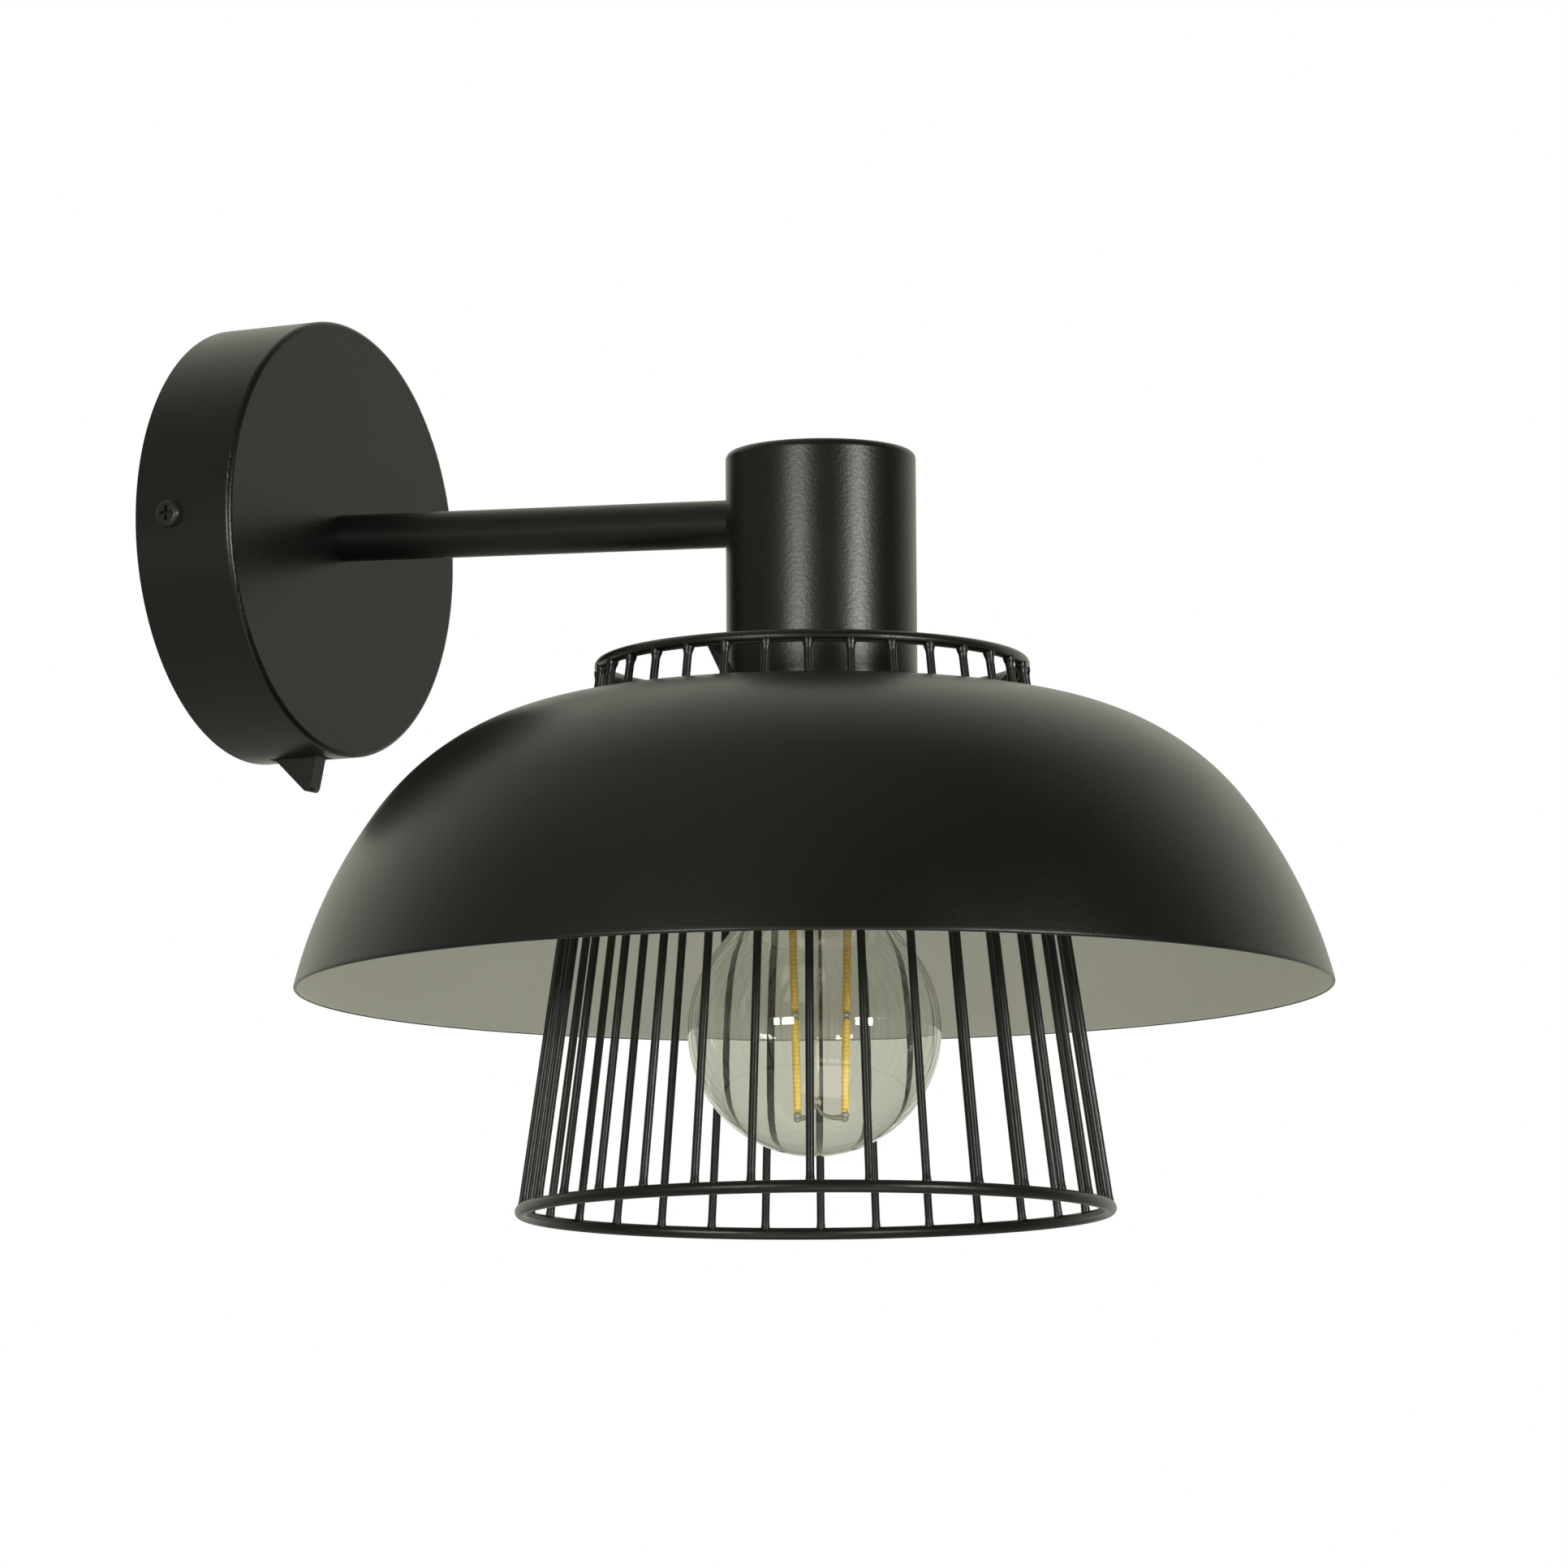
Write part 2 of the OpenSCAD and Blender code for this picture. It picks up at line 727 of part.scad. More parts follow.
module arm_tube() color(black_paint) difference() {
    translate([0, -canopy_h - nipple_grip / 2, 0])
        rotate([arm_fall, 0, 0])
            off_wall()
                translate([0, 0, -nipple_grip])
                    tube(arm_span + 1.5 * nipple_grip + cup_r, arm_d / 2, arm_bore_r);
    translate([-arm_d, -canopy_h, -arm_d])
        cube([2 * arm_d, 2 * nipple_grip, 2 * arm_d]);
    at_cup() cylinder(h = 4 * arm_d, r = cup_r, center = true, $fn = 180);
}

module canopy_nipple() color(zinc) {
    translate([0, -canopy_nipple_end, 0])
        off_wall()
            tube(canopy_h + nipple_grip - canopy_nipple_end, nipple_d / 2, nipple_bore_d / 2);
}

module canopy_lock_washer() color(zinc) {
    translate([0, -canopy_nut_y - washer_t, 0])
        off_wall() difference() {
            tube(washer_t, washer_d / 2, nipple_d / 2 + thread_gap);
            for (k = [0 : washer_notch_n - 1])
                rotate([0, 0, 360 * k / washer_notch_n])
                    translate([washer_d / 2 + notch_out, 0, -cut])
                        cylinder(h = 3 * cut, d = washer_notch_d, $fn = 24);
        }
}

// Ring tag under the canopy's nut, with a tail for the earth lead
module earth_tag() color(brass) {
    translate([0, -canopy_nut_y, 0])
        off_wall() difference() {
            union() {
                cylinder(h = washer_t, d = washer_d);
                translate([-tag_tail, -tag_w / 2, 0]) cube([tag_tail, tag_w, washer_t]);
            }
            translate([0, 0, -cut])
                cylinder(h = washer_t + 2 * cut, d = nipple_d + 2 * thread_gap);
        }
}

module canopy_nut() color(zinc) {
    translate([0, -canopy_nut_y + nut_h, 0])
        off_wall() hex_nut(nut_h, nut_af, nipple_d + 2 * thread_gap);
}

module lamp_nipple() color(zinc) {
    at_cup()
        translate([0, cup_r + nipple_grip, 0])
            off_wall()
                tube(cup_r + nipple_grip - lamp_nipple_end, nipple_d / 2, nipple_bore_d / 2);
}

// Washer that is flat on one side and fits the cup's wall on the other
module saddle_washer() color(zinc) at_cup() difference() {
    intersection() {
        translate([-saddle_w / 2, strap_face, -strap_top])
            cube([saddle_w, 2 * saddle_t, 2 * strap_top]);
        cylinder(h = 4 * strap_top, r = cup_bore_r, center = true);
    }
    translate([0, cup_r, 0])
        off_wall() cylinder(h = cup_r, d = nipple_d + 2 * thread_gap);
}

module lamp_nut() color(zinc) {
    at_cup()
        translate([0, strap_back, 0])
            off_wall() hex_nut(nut_h, nut_af, nipple_d + 2 * thread_gap);
}

// ---- cup and lampholder ----

module lamp_cup() color(black_paint) at_cup() difference() {
    rotate_extrude($fn = 180) translate([0, -cup_drop]) difference() {
        round_outline(cup_r, cup_drop + cup_top, cup_edge_r);
        round_outline(cup_bore_r, cup_drop + cup_top - cup_wall,
            cup_edge_r - cup_wall, -cut);
    }
    translate([0, 2 * cup_r, 0])
        off_wall() cylinder(h = 2 * cup_r, d = nipple_d + 2 * thread_gap);
}

// Angle strap that hangs the lampholder from the arm's end
module holder_bracket() color(zinc) at_cup() difference() {
    union() {
        translate([-strap_w / 2, strap_back, holder_z])
            cube([strap_w, strap_t, strap_top - holder_z]);
        translate([-strap_w / 2, -strap_tail, holder_z])
            cube([strap_w, strap_face + strap_tail, strap_t]);
    }
    translate([0, cup_r, 0])
        off_wall() cylinder(h = cup_r, d = nipple_d + 2 * thread_gap);
    translate([0, holder_off, holder_z - cut])
        cylinder(h = strap_t + 2 * cut, d = nipple_d + 2 * thread_gap);
}

module holder_nipple() color(zinc) {
    at_lamp()
        translate([0, 0, holder_z - holder_nipple_under])
            tube(
                holder_nipple_under + strap_t + nut_h + nipple_over,
                nipple_d / 2, nipple_bore_d / 2
            );
}

module holder_nut() color(zinc) {
    at_lamp()
        translate([0, 0, holder_z + strap_t])
            hex_nut(nut_h, nut_af, nipple_d + 2 * thread_gap);
}

module holder_cap() color(black_plastic) at_lamp() difference() {
    rotate_extrude() translate([0, cap_end_z]) difference() {
        round_outline(holder_r, holder_cap_h, holder_edge_r);
        round_outline(holder_r - holder_wall, holder_cap_h - holder_wall,
            holder_edge_r - holder_wall, -cut);
    }
    translate([0, 0, holder_z - 2 * holder_wall])
        cylinder(h = 3 * holder_wall, d = nipple_d + 2 * thread_gap);
}

module holder_skirt() color(black_plastic) at_lamp() difference() {
    translate([0, 0, skirt_end_z]) cylinder(h = skirt_h, r = holder_r);
    translate([0, 0, skirt_end_z - cut])
        cylinder(h = skirt_h + 2 * cut, r = shell_r + thread_gap);
    translate([0, 0, core_low_z])
        cylinder(h = skirt_h, r = holder_r - holder_wall);
}

module holder_core() color(white_paint) at_lamp() difference() {
    translate([0, 0, core_low_z]) cylinder(h = core_h, r = core_r);
    for (side = [-1, 1])
        translate([side * terminal_x, 0, core_top_z - terminal_screw_deep])
            cylinder(h = core_h, d = terminal_screw_d + 2 * thread_gap, $fn = 32);
}

module holder_terminals() color(brass) at_lamp() {
    for (side = [-1, 1])
        translate([side * terminal_x, 0, core_top_z])
            difference() {
                translate([-terminal_w / 2, -terminal_l / 2, 0])
                    cube([terminal_w, terminal_l, terminal_t]);
                translate([0, 0, -cut])
                    cylinder(h = terminal_t + 2 * cut,
                        d = terminal_screw_d + 2 * thread_gap, $fn = 32);
            }
}

module holder_terminal_screws() color(zinc) at_lamp() {
    for (side = [-1, 1])
        translate([side * terminal_x, 0, core_top_z + terminal_t]) {
            grub_screw(terminal_head_d, terminal_head_h, block_slot_w);
            translate([0, 0, -terminal_t - terminal_screw_deep])
                cylinder(h = terminal_t + terminal_screw_deep, d = terminal_screw_d, $fn = 32);
        }
}

module holder_screw_shell() color(nickel) at_lamp() {
    translate([0, 0, skirt_end_z + shell_lip])
        tube(core_low_z - skirt_end_z - shell_lip, shell_r, shell_bore_d / 2);
}

// Sprung leaf that bears on the bulb's contact
module centre_contact() color(brass) at_lamp() {
    translate([0, 0, core_low_z])
        rotate([90, 0, 90])
            linear_extrude(leaf_w, center = true)
                polygon([
                    [8, 0],
                    [2.6, 0],
                    [-0.5, leaf_t - leaf_reach],
                    [-3, leaf_t - leaf_reach],
                    [-5, 2 * leaf_t - leaf_reach],
                    [-5, leaf_t - leaf_reach],
                    [-3, -leaf_reach],
                    [-0.7, -leaf_reach],
                    [2.4, -leaf_t],
                    [8, -leaf_t]
                ]);
}

module upper_shade_ring() color(black_plastic) at_lamp() {
    translate([0, 0, upper_ring_z - upper_ring_h])
        tube(upper_ring_h, upper_ring_r, holder_r + thread_gap);
}

// Ring nut under the cage, its flange grooved for the fingers
module lower_shade_ring() color(black_plastic) at_lamp() {
    translate([0, 0, lower_ring_z - lower_flange_h])
        difference() {
            tube(lower_flange_h, lower_flange_r, holder_r + thread_gap);
            for (k = [0 : knurl_n - 1])
                rotate([0, 0, 360 * k / knurl_n])
                    translate([lower_flange_r + knurl_out, 0, -cut])
                        cylinder(h = lower_flange_h + 2 * cut, d = knurl_d, $fn = 24);
        }
    translate([0, 0, lower_ring_z - lower_ring_h])
        tube(lower_ring_h - lower_flange_h, lower_ring_r, holder_r + thread_gap);
}

// ---- cage and dome ----

module cage_hub_ring() color(black_paint) at_lamp() {
    translate([0, 0, hub_z]) wire_ring(hub_r, ring_r);
}

module cage_legs() color(black_paint) at_lamp() difference() {
    for (k = [0 : leg_n - 1])
        rotate([0, 0, leg_turn + 360 * k / leg_n])
            rod([crown_r, 0, crown_z], [hub_r, 0, hub_z], ring_r, 32);
    translate([0, 0, hub_z]) cylinder(h = 8 * ring_r, r = hub_weld_r, center = true);
}

module cage_crown_ring() color(black_paint) at_lamp() {
    translate([0, 0, crown_z]) wire_ring(crown_r, ring_r);
}

module cage_wires() color(black_paint) at_lamp() {
    for (k = [0 : wire_n - 1])
        rotate([0, 0, wire_turn + 360 * k / wire_n])
            rod([bottom_r, 0, bottom_z], [crown_r, 0, crown_z], wire_r);
}

module cage_bottom_ring() color(black_paint) at_lamp() {
    translate([0, 0, bottom_z]) wire_ring(bottom_r, ring_r);
}

// Slice of a disc between two slopes of its edge, measured from level
module disc_slice(centre, r, low, high) {
    far = 3 * r;
    translate(centre) intersection() {
        circle(r, $fn = arc_fn);
        polygon([[0, 0], far * slope_normal(low), far * slope_normal(high)]);
    }
}

// Filled half outline of the dome, drawn in by inset and run on past its ends
module dome_outline(inset, over) {
    disc_slice(side_centre, side_arc_r - inset, rim_slope + over, shoulder_slope);
    disc_slice(top_centre, top_arc_r - inset,
        shoulder_slope + slice_lap + over, hole_slope - over);
}

// Bar over the seam between the outline's two slices, inside the dome
module seam_bar() {
    along = shade_wall * slope_normal(shoulder_slope);
    across = [along[1], -along[0]];
    polygon([
        side_centre - along - across,
        side_centre - along + across,
        top_centre + along + across,
        top_centre + along - across
    ]);
}

module dome_shade() color(black_paint) at_lamp() rotate_extrude($fn = 240) difference() {
    dome_outline(0, 0);
    dome_outline(shade_wall, slice_lap);
    seam_bar();
}

// ---- bulb ----

// Half outline of the envelope, drawn in by inset from the glass's outside
module envelope_outline(inset, top_z) {
    r = bulb_r - inset;
    curve_r = neck_curve_r + inset;
    join_r = r * (neck_r + neck_curve_r) / neck_span;
    join_z = bulb_z + r * (neck_z - bulb_z) / neck_span;
    translate([0, bulb_z]) intersection() {
        circle(r);
        translate([0, -2 * r]) square([2 * r, 4 * r]);
    }
    difference() {
        translate([0, join_z]) square([join_r, neck_z - join_z]);
        translate([neck_r + neck_curve_r, neck_z]) circle(curve_r, $fn = arc_fn);
    }
    translate([0, join_z]) square([neck_r - inset, top_z - join_z]);
}

module bulb_glass() color(clear_glass) at_lamp() rotate_extrude() difference() {
    envelope_outline(0, neck_top_z);
    envelope_outline(glass_t, neck_top_z + cut);
}

module bulb_cap() color(nickel) at_lamp() rotate_extrude() difference() {
    union() {
        translate([0, cap_low_z]) square([collar_d / 2, collar_h]);
        translate([0, cap_low_z + collar_h])
            square([cap_root_d / 2, cap_h - collar_h - cap_shoulder]);
        for (k = [0 : thread_crests - 1])
            translate([cap_d / 2 - crest_r, cap_low_z + collar_h + 2 + thread_pitch * k])
                circle(crest_r, $fn = 48);
        polygon([
            [0, cap_top_z - cap_shoulder],
            [cap_root_d / 2, cap_top_z - cap_shoulder],
            [insulator_d / 2 + cap_t, cap_top_z],
            [0, cap_top_z]
        ]);
    }
    translate([0, cap_low_z - cut])
        square([neck_r + thread_gap, collar_h + cut - cap_t]);
    translate([0, cap_low_z - cut])
        square([cap_root_d / 2 - cap_t, cap_h + cut - cap_shoulder - cap_t]);
    translate([0, cap_low_z])
        square([insulator_d / 2 + thread_gap, cap_h + cut]);
}

module bulb_insulator() color(black_plastic) at_lamp() rotate_extrude() polygon([
    [0, cap_top_z - insulator_seat],
    [insulator_d / 2, cap_top_z - insulator_seat],
    [insulator_d / 2, cap_top_z],
    [contact_d / 2 + 1.4, cap_top_z + insulator_h],
    [0, cap_top_z + insulator_h]
]);

module bulb_contact() color(nickel) at_lamp() {
    translate([0, 0, bulb_top_z - contact_h])
        rotate_extrude() round_outline(contact_d / 2, contact_h, contact_h / 2);
}

// Glass stem: a flare sealed in the neck, a tube and a rod down to the filaments
module bulb_stem() color(clear_glass) at_lamp() {
    flare_r = neck_r - glass_t - thread_gap;
    rotate_extrude() polygon([
        [0, stem_top_z],
        [flare_r, stem_top_z],
        [flare_r, stem_top_z - 1],
        [stem_r, stem_top_z - stem_flare_h],
        [stem_r, stem_low_z + 2],
        [stem_rod_r, stem_low_z],
        [stem_rod_r, filament_low_z + rod_reach],
        [0, filament_low_z + rod_reach]
    ]);
}

function chain_point(k, r, z) =
    let (a = chain_turn + 90 * k)
    [r * cos(a) + filament_shift[0], r * sin(a) + filament_shift[1], z];
function chain_nodes(k) = [
    chain_point(k, chain_top_r, filament_top_z),
    chain_point(k, (chain_top_r + chain_low_r) / 2, filament_mid_z),
    chain_point(k, chain_low_r, filament_low_z)
];

// Wires from the stem to the filaments' ends, and a crimp at each end
module bulb_supports() color(nickel) at_lamp() {
    for (k = [0 : chain_n - 1]) {
        ends = chain_nodes(k);
        top_root = [0, 0, filament_top_z + top_root_rise]
            + stem_r * unit([ends[0][0], ends[0][1], 0]);
        low_root = [0, 0, filament_low_z + low_root_rise]
            + stem_rod_r * unit([ends[2][0], ends[2][1], 0]);
        rod(top_root, ends[0], support_d / 2);
        rod(low_root, ends[2], support_d / 2);
        half = crimp_l / 2 * unit(ends[2] - ends[0]);
        for (p = ends)
            rod(p - half, p + half, crimp_r);
    }
}

module bulb_filaments() color(phosphor) at_lamp() {
    for (k = [0 : chain_n - 1]) {
        ends = chain_nodes(k);
        for (i = [0, 1]) {
            back = (crimp_l / 2 + crimp_gap) * unit(ends[i + 1] - ends[i]);
            rod(ends[i] + back, ends[i + 1] - back, filament_d / 2);
        }
    }
}

// ---- leads ----

module live_lead() color("saddlebrown") lead(live_route);
module switched_lead() color("saddlebrown") lead(switched_route);
module neutral_lead() color("royalblue") lead(neutral_route);
module earth_lead() color("yellowgreen") lead(earth_route);

wall_bracket();
bracket_tabs();
earth_screw();
canopy();
canopy_screws();
terminal_block();
terminal_block_screws();
switch_body();
switch_rocker();
switch_terminals();
arm_tube();
canopy_nipple();
canopy_lock_washer();
earth_tag();
canopy_nut();
lamp_nipple();
saddle_washer();
lamp_nut();
lamp_cup();
holder_bracket();
holder_nipple();
holder_nut();
holder_cap();
holder_skirt();
holder_core();
holder_terminals();
holder_terminal_screws();
holder_screw_shell();
centre_contact();
upper_shade_ring();
lower_shade_ring();
cage_hub_ring();
cage_legs();
cage_crown_ring();
cage_wires();
cage_bottom_ring();
dome_shade();
bulb_glass();
bulb_cap();
bulb_insulator();
bulb_contact();
bulb_stem();
bulb_supports();
bulb_filaments();
live_lead();
switched_lead();
neutral_lead();
earth_lead();
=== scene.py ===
import json
import math
import bpy
import numpy as np
from mathutils import Matrix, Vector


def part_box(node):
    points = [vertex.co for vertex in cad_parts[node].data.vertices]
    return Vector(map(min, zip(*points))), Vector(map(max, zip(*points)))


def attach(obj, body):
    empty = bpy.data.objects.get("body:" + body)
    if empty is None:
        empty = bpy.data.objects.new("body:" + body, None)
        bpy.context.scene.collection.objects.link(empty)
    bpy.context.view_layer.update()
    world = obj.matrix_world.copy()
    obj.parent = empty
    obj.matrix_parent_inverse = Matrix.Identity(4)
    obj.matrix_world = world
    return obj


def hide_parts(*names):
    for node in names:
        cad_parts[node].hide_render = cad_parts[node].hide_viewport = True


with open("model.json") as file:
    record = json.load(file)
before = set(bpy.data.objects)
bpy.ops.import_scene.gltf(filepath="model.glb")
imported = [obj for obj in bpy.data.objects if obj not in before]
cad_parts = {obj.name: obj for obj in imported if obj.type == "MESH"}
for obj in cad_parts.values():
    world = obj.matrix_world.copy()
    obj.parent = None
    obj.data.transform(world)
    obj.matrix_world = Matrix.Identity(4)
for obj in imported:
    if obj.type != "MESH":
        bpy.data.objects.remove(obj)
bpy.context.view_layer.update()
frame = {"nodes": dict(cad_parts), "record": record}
NODES = frame["nodes"]

# Sizes are in metres: x runs along the wall, -y out of it and z up
MM = 0.001

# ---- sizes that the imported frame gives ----


def extent(node):
    """Radius, lowest height and highest height of a packed turned node, in metres."""
    low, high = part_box(node)
    return (high[0] - low[0]) / 2, low[2], high[2]


CROWN_OUTSIDE, CROWN_LOW, CROWN_TOP = extent("cage_crown_ring")
BOTTOM_OUTSIDE, BOTTOM_LOW, BOTTOM_TOP = extent("cage_bottom_ring")
RIM_R, DOME_LOW, DOME_TOP = extent("dome_shade")
BULB_R, BULB_LOW, BULB_TOP = extent("bulb_glass")
CAP_LOW, CAP_TOP = extent("bulb_cap")[1:]
FLARE_R, STEM_LOW, STEM_TOP = extent("bulb_stem")
SKIRT_R, SKIRT_LOW, SKIRT_TOP = extent("holder_skirt")

# The lampholder's upright axis, which the cage, dome and bulb share
AXIS = np.array(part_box("cage_bottom_ring")).mean(axis=0) * [1, 1, 0]

RING_WIRE_R = (CROWN_TOP - CROWN_LOW) / 2
CROWN_R = CROWN_OUTSIDE - RING_WIRE_R
BOTTOM_R = BOTTOM_OUTSIDE - RING_WIRE_R
CROWN_Z = (CROWN_TOP + CROWN_LOW) / 2
BOTTOM_Z = (BOTTOM_TOP + BOTTOM_LOW) / 2
WIRE_LENGTH = math.hypot(BOTTOM_R - CROWN_R, CROWN_Z - BOTTOM_Z)
WIRE_LEAN = math.atan2(BOTTOM_R - CROWN_R, CROWN_Z - BOTTOM_Z)
BULB_Z = BULB_LOW + BULB_R

# ---- sizes that the frame doesn't give ----

# The cage's upright wires, and how far round from +x the first one stands
WIRE_R = 1.0 * MM
WIRE_COUNT = 32
WIRE_TURN = math.radians(4.2)

# The dome's thickness, its gap to the wires and its slopes
SHEET = 1.0 * MM
HOLE_GAP = 0.05 * MM
RIM_SLOPE, SHOULDER_SLOPE, HOLE_SLOPE = (math.radians(d) for d in (76, 53.5, 1))

# The bulb's wall, its neck and the hollow curve above its ball
GLASS_WALL = 0.8 * MM
NECK_R = 12.8 * MM
NECK_CURVE = 38 * MM

# Edges that turn by more than this show as edges, and the same on fine rods and wires
EDGE, FINE_EDGE = math.radians(40), math.radians(60)


def shown(name, data):
    """A new object in the scene for a mesh, a lamp or a lens."""
    thing = bpy.data.objects.new(name, data)
    bpy.context.scene.collection.objects.link(thing)
    return thing


# ---- nodes ----

# A Mix node's sockets share their names, so the colour ones go by number
MIX_FACTOR, MIX_FIRST, MIX_SECOND, MIX_RESULT = 0, 6, 7, 2


class Value:
    """One output in a graph: + - and * on it, from either side, add Math nodes."""

    def __init__(self, graph, socket):
        self.graph = graph
        self.socket = socket

    def math(self, operation, *terms):
        """A Math node on these terms."""
        return self.graph.node("ShaderNodeMath", {"operation": operation}, dict(enumerate(terms)))

    def __add__(self, other):
        return self.math("ADD", self, other)

    __radd__ = __add__

    def __sub__(self, other):
        return self.math("SUBTRACT", self, other)

    def __rsub__(self, other):
        return self.math("SUBTRACT", other, self)

    def __mul__(self, other):
        return self.math("MULTIPLY", self, other)

    __rmul__ = __mul__

    def sine(self):
        """The sine of an angle in radians."""
        return self.math("SINE", self)

    def band(self, low, high):
        """0 at low, 1 at high, smooth between them and level past them. High may be the
        smaller one."""
        return self.graph.node(
            "ShaderNodeMapRange",
            {"interpolation_type": "SMOOTHSTEP"},
            {"Value": self, "From Min": low, "From Max": high},
        )

    def part(self, axis):
        """The X, Y or Z of a vector."""
        return self.graph.node("ShaderNodeSeparateXYZ", values={"Vector": self}, output=axis)

    def length(self):
        """The length of a vector."""
        settings = {"operation": "LENGTH"}
        return self.graph.node("ShaderNodeVectorMath", settings, {0: self}, output="Value")

    def dot(self, direction):
        """How far a vector reaches in a fixed direction."""
        settings = {"operation": "DOT_PRODUCT"}
        terms = {0: self, 1: tuple(direction)}
        return self.graph.node("ShaderNodeVectorMath", settings, terms, output="Value")


class Graph:
    """The nodes of a material or of the world. node() adds any node, and close() the last."""

    def __init__(self, block, coordinates="Object", last="ShaderNodeOutputMaterial"):
        block.use_nodes = True
        self.block = block
        self.tree = block.node_tree
        self.last = last
        self.tree.nodes.clear()
        self.spot = self.node("ShaderNodeTexCoord", output=coordinates)

    def node(self, kind, settings=None, values=None, output=0):
        """Adds a node, makes its settings, then sets or links its sockets."""
        node = self.tree.nodes.new(kind)
        for name, setting in (settings or {}).items():
            setattr(node, name, setting)
        for name, value in (values or {}).items():
            if isinstance(value, Value):
                self.tree.links.new(value.socket, node.inputs[name])
            else:
                node.inputs[name].default_value = value
        return Value(self, node.outputs[output]) if node.outputs else None

    def stretched(self, scale):
        """Coordinates multiplied by a scale for each axis."""
        return self.node("ShaderNodeMapping", values={"Vector": self.spot, "Scale": scale})

    def speckle(self, size, detail=2.0, rough=0.5, spot=None, twist=0.0):
        """Noise from 0 to 1 with grains of that size in millimetres."""
        return self.node(
            "ShaderNodeTexNoise",
            values={
                "Vector": spot or self.spot,
                "Scale": 1 / (size * MM),
                "Detail": detail,
                "Roughness": rough,
                "Distortion": twist,
            },
        )

    def cells(self, size):
        """Distance to the nearest of scattered points, size millimetres apart."""
        values = {"Vector": self.spot, "Scale": 1 / (size * MM)}
        return self.node("ShaderNodeTexVoronoi", values=values, output="Distance")

    def blend(self, factor, first, second):
        """A colour between two, first at 0 and second at 1."""
        values = {MIX_FACTOR: factor}
        for socket, colour in ((MIX_FIRST, first), (MIX_SECOND, second)):
            values[socket] = colour if isinstance(colour, Value) else (*colour, 1.0)
        return self.node("ShaderNodeMix", {"data_type": "RGBA"}, values, output=MIX_RESULT)

    def bump(self, height, depth, under=None):
        """Normal that a height from 0 to 1 gives, depth millimetres deep."""
        values = {"Height": height, "Distance": depth * MM}
        if under:
            values["Normal"] = under
        return self.node("ShaderNodeBump", values=values)

    def facing(self, axis):
        """How far the surface faces along that axis, from -1 to 1."""
        return self.node("ShaderNodeNewGeometry", output="Normal").part(axis)

    def rays(self, kind):
        """1 for that kind of ray and 0 for any other."""
        return self.node("ShaderNodeLightPath", output=f"Is {kind} Ray")

    def shader(self, **values):
        """The Principled shader with these sockets."""
        named = {name.replace("_", " "): value for name, value in values.items()}
        return self.node("ShaderNodeBsdfPrincipled", values=named)

    def mixed(self, factor, first, second):
        """A shader between two, first at 0 and second at 1."""
        return self.node("ShaderNodeMixShader", values={0: factor, 1: first, 2: second})

    def close(self, shader):
        """Links a shader to the output, and gives the material or the world back."""
        self.node(self.last, values={"Surface": shader})
        return self.block


# ---- finishes ----


def shade(tint, share):
    """A colour made darker, or lighter where the share is over 1."""
    return tuple(channel * share for channel in tint)


def powder_coat(name, grain, tint, smooth):
    """Satin black powder coat: fine orange peel, soft sheen patches and a little dust on top."""
    f = Graph(bpy.data.materials.new(name))
    patches = f.speckle(18, detail=3)
    pits = f.speckle(grain, rough=0.4)
    fleck = f.speckle(grain * 0.25, detail=1)
    settled = f.facing("Z").band(0.5, 1.0) * f.speckle(6, detail=5, rough=0.7).band(0.5, 0.8)
    dust = settled * f.cells(1.1).band(0.22, 0.02)
    base = f.blend(patches, shade(tint, 0.86), shade(tint, 1.14))
    base = f.blend(fleck.band(0.62, 0.78) * 0.35, base, shade(tint, 2.0))
    base = f.blend(dust * 0.10, base, (0.30, 0.29, 0.27))
    rough = patches * 0.07 + pits * 0.05 + dust * 0.15 + smooth - 0.06
    normal = f.bump(pits, 0.035, f.bump(fleck, 0.004))
    return f.close(f.shader(Base_Color=base, Roughness=rough, Normal=normal, IOR=1.5))


def enamel(name, tint):
    """Matt white enamel: faint clouding, fine stipple and a few dark specks."""
    f = Graph(bpy.data.materials.new(name))
    clouds = f.speckle(30, detail=3)
    stipple = f.speckle(0.7)
    specks = f.cells(9).band(0.035, 0.015)
    base = f.blend(clouds, shade(tint, 0.97), tint)
    base = f.blend(specks * 0.35, base, (0.25, 0.24, 0.20))
    rough = clouds * 0.08 + stipple * 0.06 + 0.42
    normal = f.bump(stipple, 0.03)
    return f.close(f.shader(Base_Color=base, Roughness=rough, Normal=normal, IOR=1.5))


def plated(name, pale, dark, smooth, stain=0.25):
    """Plated metal: drawn streaks, cloudy brightness and dulled spots."""
    f = Graph(bpy.data.materials.new(name))
    streaks = f.speckle(0.5, rough=0.6, spot=f.stretched((1, 0.05, 1)))
    clouds = f.speckle(7, detail=4, rough=0.6)
    spots = f.speckle(2.2, detail=3, rough=0.6).band(0.58, 0.75)
    base = f.blend(clouds, pale, shade(pale, 0.88))
    base = f.blend(spots * stain, base, dark)
    rough = streaks * 0.14 + clouds * 0.10 + spots * 0.14 + smooth - 0.06
    normal = f.bump(streaks, 0.012, f.bump(clouds, 0.03))
    return f.close(f.shader(Base_Color=base, Metallic=1.0, Roughness=rough, Normal=normal))


